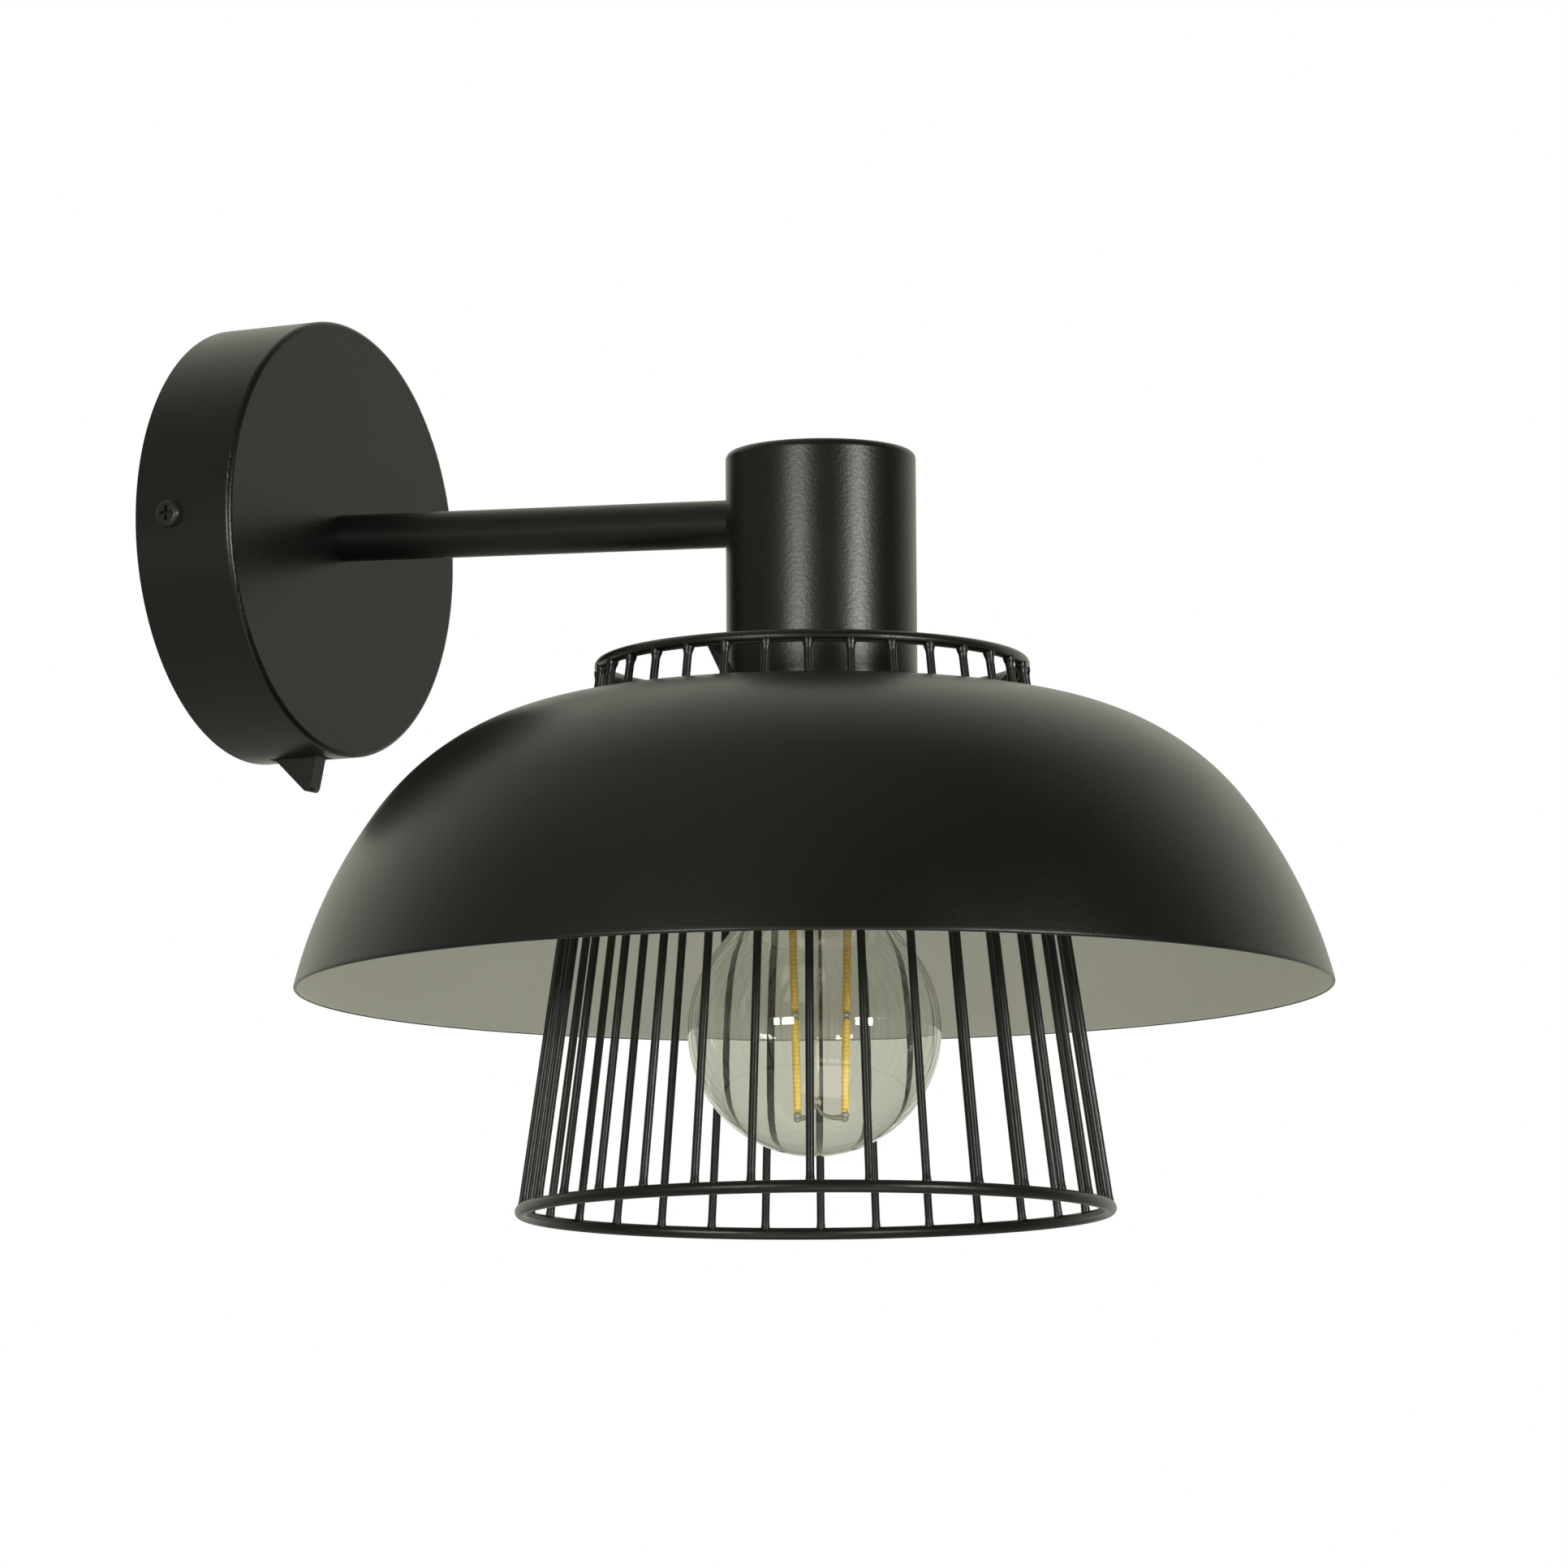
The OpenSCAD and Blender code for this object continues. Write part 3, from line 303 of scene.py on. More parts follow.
def moulded(name, tint, smooth, grain, depth, coat=0.0):
    """Moulded plastic: fine spark-eroded grain, faint flow marks and scuffed spots."""
    f = Graph(bpy.data.materials.new(name))
    flow = f.speckle(9, detail=3, rough=0.6, spot=f.stretched((1, 1, 0.3)), twist=0.6)
    pits = f.cells(grain) + f.speckle(grain * 0.6)
    scuffs = f.speckle(3, detail=5, rough=0.75).band(0.6, 0.8)
    worn = tuple(channel * 0.8 + 0.05 for channel in tint)
    base = f.blend(flow, shade(tint, 0.9), shade(tint, 1.08))
    base = f.blend(scuffs * 0.12, base, worn)
    rough = flow * 0.08 + scuffs * 0.12 + smooth - 0.04
    return f.close(f.shader(
        Base_Color=base, Roughness=rough, Normal=f.bump(pits, depth), IOR=1.49, Coat_Weight=coat,
    ))


def glazed(name):
    """Glazed steatite: off-white body under a clear wavy glaze with pinholes."""
    f = Graph(bpy.data.materials.new(name))
    clouds = f.speckle(6, detail=4)
    holes = f.cells(2.4).band(0.07, 0.03)
    base = f.blend(clouds, (0.80, 0.78, 0.71), (0.88, 0.87, 0.82))
    base = f.blend(holes * 0.6, base, (0.32, 0.28, 0.22))
    rough = clouds * 0.12 + holes * 0.3 + 0.16
    normal = f.bump(1 - holes, 0.05, f.bump(clouds, 0.06))
    return f.close(f.shader(Base_Color=base, Roughness=rough, Normal=normal, Coat_Weight=0.4))


def clear_glass(name, tint, waves):
    """Blown glass: slow waves in the wall. Light from the lamps passes straight through it."""
    f = Graph(bpy.data.materials.new(name))
    wave = f.speckle(waves, rough=0.4)
    smear = f.speckle(12, detail=4, rough=0.7).band(0.55, 0.85)
    base = f.blend(wave, tint, shade(tint, 0.97))
    glass = f.shader(
        Base_Color=base, Roughness=smear * 0.03 + 0.005, Transmission_Weight=1.0, IOR=1.5,
        Normal=f.bump(wave, 0.05),
    )
    through = f.node("ShaderNodeBsdfTransparent", values={"Color": (0.80, 0.82, 0.78, 1.0)})
    return f.close(f.mixed(f.rays("Shadow"), glass, through))


# Millimetres from chip to chip on a filament stick
CHIP_PITCH = 30 / 28


def phosphor(name):
    """Phosphor coat on a filament stick: grainy, with a paler spot over each chip."""
    f = Graph(bpy.data.materials.new(name))
    along = f.node("ShaderNodeAttribute", {"attribute_name": "along"}, output="Fac")
    chips = (along * (math.tau / CHIP_PITCH)).sine() * 0.5 + 0.5
    grains = f.speckle(0.28, detail=3, rough=0.6)
    base = f.blend(chips.band(0.45, 0.95), (0.86, 0.55, 0.07), (0.95, 0.72, 0.15))
    base = f.blend(grains * 0.35, base, (0.72, 0.42, 0.10))
    rough = grains * 0.2 + 0.42
    normal = f.bump(grains, 0.06, f.bump(f.speckle(1.3), 0.12))
    return f.close(f.shader(
        Base_Color=base, Roughness=rough, Normal=normal, Subsurface_Weight=0.2,
        Subsurface_Radius=(0.8 * MM, 0.5 * MM, 0.2 * MM),
    ))


def sleeve(name, tint, stripe=None):
    """Lead insulation: soft sheen and die lines, and a second colour on the side towards +x."""
    f = Graph(bpy.data.materials.new(name))
    flow = f.speckle(2.2, detail=3)
    fine = f.speckle(0.35)
    base = f.blend(flow, shade(tint, 0.85), shade(tint, 1.1))
    if stripe:
        base = f.blend(f.facing("X").band(0.22, 0.30), base, stripe)
    rough = flow * 0.1 + fine * 0.06 + 0.34
    normal = f.bump(fine, 0.02, f.bump(flow, 0.03))
    return f.close(f.shader(Base_Color=base, Roughness=rough, Normal=normal))


BLACK = (0.0044, 0.0044, 0.0039)
FINISHES = {
    "black_paint": powder_coat("black_powder_coat", 0.9, BLACK, smooth=0.33),
    "black_wire": powder_coat("black_coated_wire", 0.5, BLACK, smooth=0.34),
    "shade_paint": powder_coat("black_dome_coat", 1.0, BLACK, smooth=0.33),
    "black_screw": powder_coat("blackened_screw", 0.4, (0.016, 0.016, 0.016), smooth=0.30),
    "shade_white": enamel("white_dome_enamel", (0.80, 0.795, 0.745)),
    "zinc_steel": plated(
        "zinc_plated_steel", (0.62, 0.64, 0.66), (0.40, 0.38, 0.34), smooth=0.30,
    ),
    "brass": plated(
        "plain_brass", (0.80, 0.58, 0.26), (0.42, 0.26, 0.11), smooth=0.26, stain=0.35,
    ),
    "nickel_plate": plated(
        "nickel_plated_shell", (0.66, 0.64, 0.60), (0.38, 0.35, 0.30), smooth=0.20,
    ),
    "support_wire": plated(
        "drawn_nickel_wire", (0.70, 0.68, 0.64), (0.34, 0.32, 0.30), smooth=0.22,
    ),
    "terminal_plastic": moulded(
        "natural_polyamide", (0.70, 0.68, 0.60), smooth=0.42, grain=0.5, depth=0.02,
    ),
    "switch_plastic": moulded(
        "black_switch_plastic", (0.017, 0.017, 0.017), smooth=0.30, grain=0.22, depth=0.012,
    ),
    "holder_plastic": moulded(
        "black_holder_plastic", (0.020, 0.019, 0.018), smooth=0.30, grain=0.4, depth=0.02, coat=0.2,
    ),
    "ceramic": glazed("glazed_steatite"),
    "black_glass": moulded(
        "black_cap_glass", (0.008, 0.008, 0.009), smooth=0.12, grain=2.0, depth=0.08, coat=0.5,
    ),
    "bulb_glass": clear_glass("clear_bulb_glass", (0.95, 0.955, 0.92), waves=16),
    "stem_glass": clear_glass("clear_stem_glass", (0.93, 0.94, 0.90), waves=4),
    "phosphor": phosphor("yellow_phosphor"),
    "brown_lead": sleeve("brown_insulation", (0.16, 0.065, 0.025)),
    "blue_lead": sleeve("blue_insulation", (0.03, 0.12, 0.42)),
    "earth_lead": sleeve("green_yellow_insulation", (0.04, 0.27, 0.07), stripe=(0.80, 0.66, 0.06)),
}


def paint(node, finish):
    """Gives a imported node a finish."""
    piece = NODES[node]
    if not piece.material_slots:
        piece.data.materials.append(finish)
    for slot in piece.material_slots:
        slot.material = finish


for part in frame["record"]["subparts"]:
    paint(part["node"], FINISHES[part["material_slot"]])


# ---- surfaces ----

# Points that round to the same multiple of this become one
MERGE = 1e-8

# A tube's first axis is its path crossed with one of these: steep paths, then level ones
STEEP = 0.7
ACROSS_STEEP, ACROSS_LEVEL = (1.0, 0.2, 0.1), (0.31, 0.47, 0.83)

# Round-ended rods: their first axis is crossed with this, and the waves' turn per millimetre
ACROSS_ROD = (0.6, 0.8, 0.1)
ROD_END_ROWS = 6
LUMP_TURN = 1.7


def turns(count):
    """Angles of a whole turn in equal steps."""
    return np.linspace(0, math.tau, count, endpoint=False)


def unit(vectors):
    """Vectors divided by their lengths."""
    return vectors / np.linalg.norm(vectors, axis=-1, keepdims=True)


def arc(centre, radius, start, end, count):
    """Points on a circle's arc: centre + radius * (cos a, sin a), a from start to end."""
    a = np.linspace(start, end, count)
    return np.column_stack([centre[0] + radius * np.cos(a), centre[1] + radius * np.sin(a)])


def circle(first, second, count):
    """Unit circle through two directions: cos t times the first plus sin t times the second."""
    turn = turns(count)[:, None]
    return np.cos(turn) * first + np.sin(turn) * second


def lathe(profile, count):
    """Grid of a turned shape: each profile point (r, z) goes round the lampholder's axis, so
    that a point is (x0 + r cos t, y0 + r sin t, z). A profile may differ at each angle."""
    if profile.ndim == 2:
        profile = profile[:, None]
    turn = turns(count)
    grid = np.empty((len(profile), count, 3))
    grid[..., 0] = AXIS[0] + profile[..., 0] * np.cos(turn)
    grid[..., 1] = AXIS[1] + profile[..., 0] * np.sin(turn)
    grid[..., 2] = profile[..., 1]
    return grid


def carried(path, radius, count):
    """Grid of a tube: a circle of the radius at each path point, in the plane across the
    path's tangent, drawn together to a point at both ends."""
    along = unit(np.gradient(path, axis=0))
    steep = abs(along[:, 2]).mean() >= STEEP
    side = unit(np.cross(along, ACROSS_STEEP if steep else ACROSS_LEVEL))
    ring = circle(side[:, None], np.cross(along, side)[:, None], count)
    tube = path[:, None] + np.broadcast_to(radius, len(path))[:, None, None] * ring
    tips = path[[0, -1]][:, None].repeat(count, axis=1)
    return np.concatenate([tips[:1], tube, tips[1:]])


def domed_rod(start, end, radius, count, rings, lump=0.0, phase=0.0):
    """Grid of a straight rod with round ends: the radius follows a quarter circle at each
    end, r = R sqrt(1 - (1 - s/R)^2), and slow waves lump * sin(w s + phase) add to it."""
    length = np.linalg.norm(end - start)
    way = unit(end - start)
    bend = 1 - np.cos(np.linspace(0, math.pi / 2, ROD_END_ROWS))
    middle = np.linspace(radius, length - radius, rings)[1:-1]
    s = np.concatenate([bend * radius, middle, length - bend[::-1] * radius])
    inset = np.clip(np.minimum(s, length - s) / radius, 0, 1)
    thick = radius * np.sqrt(1 - (1 - inset) ** 2)
    thick += lump * np.sin(s / MM * LUMP_TURN + phase) * (inset > 0)
    side = unit(np.cross(way, ACROSS_ROD))
    ring = circle(side, np.cross(way, side), count)
    return start + s[:, None, None] * way + thick[:, None, None] * ring


def sheet_of(grid, closed_rows):
    """Points, quads, way along in millimetres and row numbers of one grid whose columns
    close on themselves. Its rows close too where closed_rows is true. The quads go the way
    round that makes the volume they enclose, the sum of a . (b x c + c x d), positive."""
    rows, columns = grid.shape[:2]
    i = np.arange(rows if closed_rows else rows - 1)[:, None]
    j = np.arange(columns)
    here, there = i * columns, (i + 1) % rows * columns
    after = (j + 1) % columns
    quads = np.stack([here + j, here + after, there + after, there + j], axis=-1).reshape(-1, 4)
    points = grid.reshape(-1, 3)
    a, b, c, d = (points[quads[:, k]] for k in range(4))
    if (a * (np.cross(b, c) + np.cross(c, d))).sum() < 0:
        quads = quads[:, ::-1]
    steps = np.linalg.norm(np.diff(grid[:, 0], axis=0), axis=1) / MM
    along = np.concatenate([[0], np.cumsum(steps)]).repeat(columns)
    return points, quads, along, i.repeat(columns)


def piece_from(name, grids, body, stands_for, slot, finishes=None, closed_rows=False,
               second=None, edge=EDGE):
    """Makes one piece of one or more grids. Points that fall together are merged, a quad
    that loses one corner by that becomes a triangle, and one that loses more goes.
    second(rows) is true for the rows that take the second finish. Edges that turn by more
    than edge stay sharp."""
    sheets = [sheet_of(grid, closed_rows) for grid in grids]
    starts = np.cumsum([0] + [len(sheet[0]) for sheet in sheets])
    quads = np.concatenate([sheet[1] + start for sheet, start in zip(sheets, starts)])
    points, along, rows = (np.concatenate([sheet[k] for sheet in sheets]) for k in (0, 2, 3))
    _, first, same = np.unique(
        np.round(points / MERGE), axis=0, return_index=True, return_inverse=True,
    )
    quads = same.reshape(-1)[quads]
    doubled = quads == np.roll(quads, -1, axis=1)
    lost = doubled.sum(axis=1)
    whole, folded = lost == 0, lost == 1
    triangles = quads[folded][~doubled[folded]].reshape(-1, 3)
    faces = quads[whole].tolist() + triangles.tolist()

    mesh = bpy.data.meshes.new(name)
    mesh.from_pydata(points[first].tolist(), [], faces)
    mesh.polygons.foreach_set("use_smooth", np.ones(len(faces), dtype=bool))
    way = mesh.attributes.new("along", "FLOAT", "POINT")
    way.data.foreach_set("value", along[first].astype(np.float32))
    for finish in finishes or [slot]:
        mesh.materials.append(FINISHES[finish])
    if second:
        taken = second(np.concatenate([rows[whole], rows[folded]]))
        mesh.polygons.foreach_set("material_index", taken.astype(np.int32))
    mesh.set_sharp_from_angle(angle=edge)
    mesh.update()

    piece = shown(name, mesh)
    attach(piece, body)
    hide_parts(*stands_for)


# ---- dome ----

DOME_COLUMNS = 256
SIDE_POINTS, TOP_POINTS, EDGE_POINTS = 40, 48, 9

# Rows of the hole's round edge that are still black
BLACK_EDGE_ROWS = 6


def slope_normal(slope):
    """Outward normal (r, z) of the dome's outline where it slopes by that angle."""
    return np.stack([np.sin(slope), np.cos(slope)], axis=-1)


def dome_middle():
    """The dome's sheet at half its thickness, and its normals: a side arc from the rim's
    slope to the shoulder's and a top arc on to the hole's, tangent where they meet. Their
    radii solve the two equations that say how far out and how far up they reach together."""
    rim = np.array([RIM_R, DOME_LOW + SHEET * math.cos(RIM_SLOPE)])
    wires_r = CROWN_R + (CROWN_Z - (DOME_TOP - SHEET)) * math.tan(WIRE_LEAN)
    hole = np.array([wires_r + WIRE_R / math.cos(WIRE_LEAN) + HOLE_GAP, DOME_TOP])
    slopes = np.array([RIM_SLOPE, SHOULDER_SLOPE, HOLE_SLOPE])
    rim_way, shoulder_way, hole_way = slope_normal(slopes)
    reach = np.column_stack([rim_way - shoulder_way, shoulder_way - hole_way])
    side_r, top_r = np.linalg.solve(reach, rim - hole)
    side_centre = rim - side_r * rim_way
    top_centre = side_centre + (side_r - top_r) * shoulder_way
    side = slope_normal(np.linspace(RIM_SLOPE, SHOULDER_SLOPE, SIDE_POINTS))
    top = slope_normal(np.linspace(SHOULDER_SLOPE, HOLE_SLOPE, TOP_POINTS)[1:])
    line = np.concatenate([
        side_centre + (side_r - SHEET / 2) * side,
        top_centre + (top_r - SHEET / 2) * top,
    ])
    return line, np.concatenate([side, top])


def round_edge(point, out, way):
    """Half circle of half the sheet's thickness: out cos a + way sin a, a from 0 to pi."""
    return point + SHEET / 2 * arc((0, 0), 1, 0, math.pi, EDGE_POINTS) @ np.array([out, way])


def dome_sheet():
    """The dome as one turned sheet with round edges: its middle line moved half the
    thickness out and in, and a half circle at the rim and at the hole."""
    line, normal = dome_middle()
    half = SHEET / 2
    outer, inner = (line + half * normal)[1:-1], (line - half * normal)[-2:0:-1]
    hole_way, rim_way = unit(line[-1] - line[-2]), unit(line[0] - line[1])
    hole = round_edge(line[-1] - half * hole_way, normal[-1], hole_way)
    rim = round_edge(line[0] - half * rim_way, -normal[0], rim_way)
    profile = np.concatenate([outer, hole, inner, rim])
    first_white = len(outer) + BLACK_EDGE_ROWS
    last_white = len(outer) + len(hole) + len(inner) + 1
    piece_from(
        "dome_sheet", [lathe(profile, DOME_COLUMNS)], "fixture", ["dome_shade"], "shade_paint",
        ["shade_paint", "shade_white"], closed_rows=True,
        second=lambda row: (row >= first_white) & (row < last_white),
    )


# ---- cage ----

TOP_FILLET, LOW_FILLET, FILLET_REACH = 0.42 * MM, 0.12 * MM, 0.9 * MM
WIRE_COLUMNS = 20

# Distances of a wire's rows from its nearer end, close together in the fillet
WIRE_END_ROWS = np.concatenate([np.linspace(0, 6, 13), np.linspace(7, 14, 3)]) * MM
WIRE_MIDDLE_START, WIRE_MIDDLE_ROWS = 20 * MM, 8


def fillet(gap):
    """Share of a weld fillet at that gap from the ring: exp(-(gap / reach)^2)."""
    return np.exp(-(np.clip(gap, 0, None) / FILLET_REACH) ** 2)


def upright_wires():
    """The cage's wires: straight rods from ring to ring, swollen into the rings by weld
    fillets, so that the radius is the wire's plus each fillet's height times its share."""
    middle = np.linspace(WIRE_MIDDLE_START, WIRE_LENGTH - WIRE_MIDDLE_START, WIRE_MIDDLE_ROWS)
    s = np.concatenate([WIRE_END_ROWS, middle, WIRE_LENGTH - WIRE_END_ROWS[::-1]])
    low_share, top_share = fillet(s - RING_WIRE_R), fillet(WIRE_LENGTH - s - RING_WIRE_R)
    thick = WIRE_R + (LOW_FILLET * low_share + TOP_FILLET * top_share)
    grids = []
    for k in range(WIRE_COUNT):
        a = WIRE_TURN + math.tau * k / WIRE_COUNT
        out = np.array([math.cos(a), math.sin(a), 0])
        low = AXIS + BOTTOM_R * out + [0, 0, BOTTOM_Z]
        top = AXIS + CROWN_R * out + [0, 0, CROWN_Z]
        path = low + (s / WIRE_LENGTH)[:, None] * (top - low)
        grids.append(carried(path, thick, WIRE_COLUMNS))
    piece_from("cage_upright_wires", grids, "fixture", ["cage_wires"], "black_wire")


# ---- bulb ----

BULB_COLUMNS = 160
BALL_POINTS, CURVE_POINTS, NECK_POINTS, LIP_POINTS = 72, 28, 5, 7


def envelope_line(inset, top):
    """Half outline of the glass from its crown up: a circle, the hollow curve to the neck
    that touches it, and the neck's straight side up to top."""
    centre_r = NECK_R + NECK_CURVE
    rise = math.sqrt((BULB_R + NECK_CURVE) ** 2 - centre_r**2)
    meet = math.atan2(rise, centre_r)
    ball = arc((0, BULB_Z), BULB_R - inset, -math.pi / 2, meet, BALL_POINTS)
    ball[0, 0] = 0
    centre = (centre_r, BULB_Z + rise)
    curve = arc(centre, NECK_CURVE + inset, math.pi + meet, math.pi, CURVE_POINTS)[1:]
    heights = np.linspace(BULB_Z + rise, top, NECK_POINTS + 1)[1:]
    neck = np.column_stack([np.full(NECK_POINTS, NECK_R - inset), heights])
    return np.concatenate([ball, curve, neck])


def bulb_envelope():
    """The blown envelope: its outline outside, a round lip at the neck and the same
    outline drawn in by the wall inside."""
    top = BULB_TOP - GLASS_WALL / 2
    lip = arc((NECK_R - GLASS_WALL / 2, top), GLASS_WALL / 2, 0, math.pi, LIP_POINTS)[1:-1]
    outer, inner = envelope_line(0, top), envelope_line(GLASS_WALL, top)[::-1]
    profile = np.concatenate([outer, lip, inner])
    piece_from(
        "bulb_envelope", [lathe(profile, BULB_COLUMNS)], "bulb", ["bulb_glass"], "bulb_glass",
    )


# The stem's outline down to its rod: millimetres below its top, and share of the flare
STEM_OUTLINE = np.array([
    (0, 0), (0, 0.94), (0.4, 1), (1.0, 1), (1.6, 0.9), (3.0, 0.6), (5.0, 0.4), (7.0, 0.31),
    (9.0, 0.27), (11, 0.26), (13, 0.26), (15, 0.27), (17, 0.27), (19, 0.25), (20.5, 0.2),
    (22, 0.12), (23.5, 0.1),
])
STEM_COLUMNS = 64

# The stem's rod, which starts that far below the stem's top and ends over the bead
ROD_R, ROD_DEPTH, ROD_END, ROD_ROWS = 1.1 * MM, 25 * MM, 3.6 * MM, 6
BEAD_R, BEAD_START, BEAD_POINTS = 1.5 * MM, math.radians(48), 10

# The pinch: its share of the radius, its turn, its depth below the top and its reach
PINCH, PINCH_TURN, PINCH_DEPTH, PINCH_REACH = 0.34, 0.6, 15 * MM, 4.5 * MM


def bulb_stem():
    """The glass stem: a flare, a tube pinched flat where the wires pass, and a rod with a
    bead on its end. The pinch is r = R (1 + p cos 2t), with p largest at its middle."""
    flare = np.column_stack([STEM_OUTLINE[:, 1] * FLARE_R, STEM_TOP - STEM_OUTLINE[:, 0] * MM])
    rod_z = np.linspace(STEM_TOP - ROD_DEPTH, STEM_LOW + ROD_END, ROD_ROWS)
    rod = np.column_stack([np.full(ROD_ROWS, ROD_R), rod_z])
    bead = arc((0, STEM_LOW + BEAD_R), BEAD_R, BEAD_START, -math.pi / 2, BEAD_POINTS)
    bead[-1, 0] = 0
    profile = np.concatenate([flare, rod, bead])
    pinch = PINCH * np.exp(-((STEM_TOP - profile[:, 1:] - PINCH_DEPTH) / PINCH_REACH) ** 2)
    shaped = profile[:, None].repeat(STEM_COLUMNS, axis=1)
    shaped[..., 0] *= 1 + pinch * np.cos(2 * turns(STEM_COLUMNS) + PINCH_TURN)
    piece_from(
        "bulb_glass_stem", [lathe(shaped, STEM_COLUMNS)], "bulb", ["bulb_stem"], "bulb_glass",
        ["stem_glass"],
    )


# Four chains of two filament sticks: their turn, their distance from the bulb's axis at
# top and bottom, how far they stand off centre, and the heights of their joints
CHAIN_COUNT = 4
CHAIN_TURN = math.radians(-17)
CHAIN_TOP_R, CHAIN_LOW_R = 9.4 * MM, 8.0 * MM
CHAIN_SHIFT = np.array([0.7, -1.3, 0]) * MM
CHAIN_HEIGHTS = BULB_Z + np.array([27, 3, -21]) * MM

# The sticks, the tabs at their joints and the wires that carry them
STICK_R, STICK_GAP, STICK_LUMP, STICK_COLUMNS, STICK_ROWS = 0.9 * MM, 0.95 * MM, 0.04 * MM, 20, 40
TAB_R, TAB_HALF, TAB_COLUMNS, TAB_ROWS = 1.02 * MM, 0.85 * MM, 16, 6
SUPPORT_R, SUPPORT_COLUMNS, SUPPORT_ROWS = 0.32 * MM, 12, 24

# Wires to a chain's top and low end: root's distance from the axis, rise of the root over
# the end, share of the way at which the wire bends, and how far the bend is lifted
SUPPORTS = ((2.9 * MM, 6 * MM, 0.65, 1.5 * MM), (0.7 * MM, 3 * MM, 0.12, -3.6 * MM))


def chain_points(k):
    """The top, middle and low joint of filament chain k."""
    a = CHAIN_TURN + math.tau * k / CHAIN_COUNT
    radii = np.linspace(CHAIN_TOP_R, CHAIN_LOW_R, 3)[:, None]
    joints = AXIS + CHAIN_SHIFT + radii * [math.cos(a), math.sin(a), 0]
    joints[:, 2] = CHAIN_HEIGHTS
    return joints


def filament_sticks():
    """Eight coated sticks, two to a chain: round-ended rods whose coat swells and thins in
    slow waves."""
    grids = []
    for k in range(CHAIN_COUNT):
        top, middle, low = chain_points(k)
        for start, end in ((middle, top), (low, middle)):
            gap = STICK_GAP * unit(end - start)
            grids.append(domed_rod(
                start + gap, end - gap, STICK_R, STICK_COLUMNS, STICK_ROWS, STICK_LUMP, phase=k,
            ))
    piece_from(
        "bulb_filament_sticks", grids, "bulb", ["bulb_filaments"], "phosphor", edge=FINE_EDGE,
    )


def filament_wires():
    """The wires that carry the chains and the welded tabs between their sticks. A wire is
    a curve (1-t)^2 P + 2 t (1-t) Q + t^2 R from the stem to a chain's end."""
    t = np.linspace(0, 1, SUPPORT_ROWS)[:, None]
    grids = []
    for k in range(CHAIN_COUNT):
        joints = chain_points(k)
        for end, (root_r, rise, share, lift) in zip(joints[[0, -1]], SUPPORTS):
            out = unit((end - AXIS) * [1, 1, 0])
            root = AXIS + root_r * out + [0, 0, end[2] + rise]
            knee = root * (1 - share) + end * share + [0, 0, lift]
            path = (1 - t) ** 2 * root + 2 * t * (1 - t) * knee + t**2 * end
            grids.append(carried(path, SUPPORT_R, SUPPORT_COLUMNS))
        half = TAB_HALF * unit(joints[0] - joints[-1])
        for joint in joints:
            grids.append(domed_rod(joint - half, joint + half, TAB_R, TAB_COLUMNS, TAB_ROWS))
    piece_from(
        "bulb_wire_supports", grids, "bulb", ["bulb_supports"], "support_wire", edge=FINE_EDGE,
    )


# ---- threads ----

THREAD_COLUMNS = 128


def hoops(*outline):
    """Rows of (r, z), one to each outline point, that are the same all round."""
    return np.array(outline)[:, None].repeat(THREAD_COLUMNS, axis=1)


def wound(radius, z):
    """Rows of (r, z) from a radius for each row and angle."""
    return np.stack([radius, np.broadcast_to(z[:, None], radius.shape)], axis=-1)


def thread_wave(z, pitch):
    """A thread's wave, cos(2 pi z / pitch - t): it climbs one pitch in a turn."""
    return np.cos(math.tau * z[:, None] / pitch - turns(THREAD_COLUMNS))


def faded_ends(z, length):
    """Column that climbs from 0 to 1 over that length from each end of z."""
    share = np.clip((z - z[0]) / length, 0, 1) * np.clip((z[-1] - z) / length, 0, 1)
    return share[:, None]


def screw_shell():
    """The bulb's screw cap: a collar, then a rolled thread whose radius is its middle one
    plus half its depth times the wave, faded in and out at its ends, then the shoulder.
    Inside it goes back down one wall further in."""
    crest, root, wall = 13.1 * MM, 12.05 * MM, 0.4 * MM
    middle, swing = (crest + root) / 2, (crest - root) / 2
    pitch, fade = 3.63 * MM, 1.6 * MM
    neck, shoulder, slack = NECK_R + 0.06 * MM, 9.5 * MM, 0.2 * MM
    thread_low, thread_top, thread_rows = CAP_LOW + 3.6 * MM, CAP_TOP - 2.2 * MM, 90
    z = np.linspace(thread_low, thread_top, thread_rows)
    outside = middle + swing * thread_wave(z - z[0], pitch) * faded_ends(z, fade)
    inside = np.minimum(outside, middle) - wall - slack
    rows = np.concatenate([
        hoops(
            (neck, CAP_LOW + 0.1 * MM), (crest - 0.15 * MM, CAP_LOW),
            (crest, CAP_LOW + 0.2 * MM), (crest, CAP_LOW + 3.0 * MM),
        ),
        wound(outside, z),
        hoops(
            (middle - slack, CAP_TOP - 1.3 * MM), (root - 0.4 * MM, CAP_TOP - 0.9 * MM),
            (shoulder + 0.4 * MM, CAP_TOP - 0.1 * MM), (shoulder, CAP_TOP),
            (shoulder - 0.05 * MM, CAP_TOP - 0.3 * MM), (root - wall, CAP_TOP - 1.6 * MM),
        ),
        wound(inside, z)[::-1],
        hoops((neck, CAP_LOW + 2.8 * MM)),
    ])
    piece_from(
        "bulb_screw_shell", [lathe(rows, THREAD_COLUMNS)], "bulb", ["bulb_cap"], "nickel_plate",
        closed_rows=True,
    )


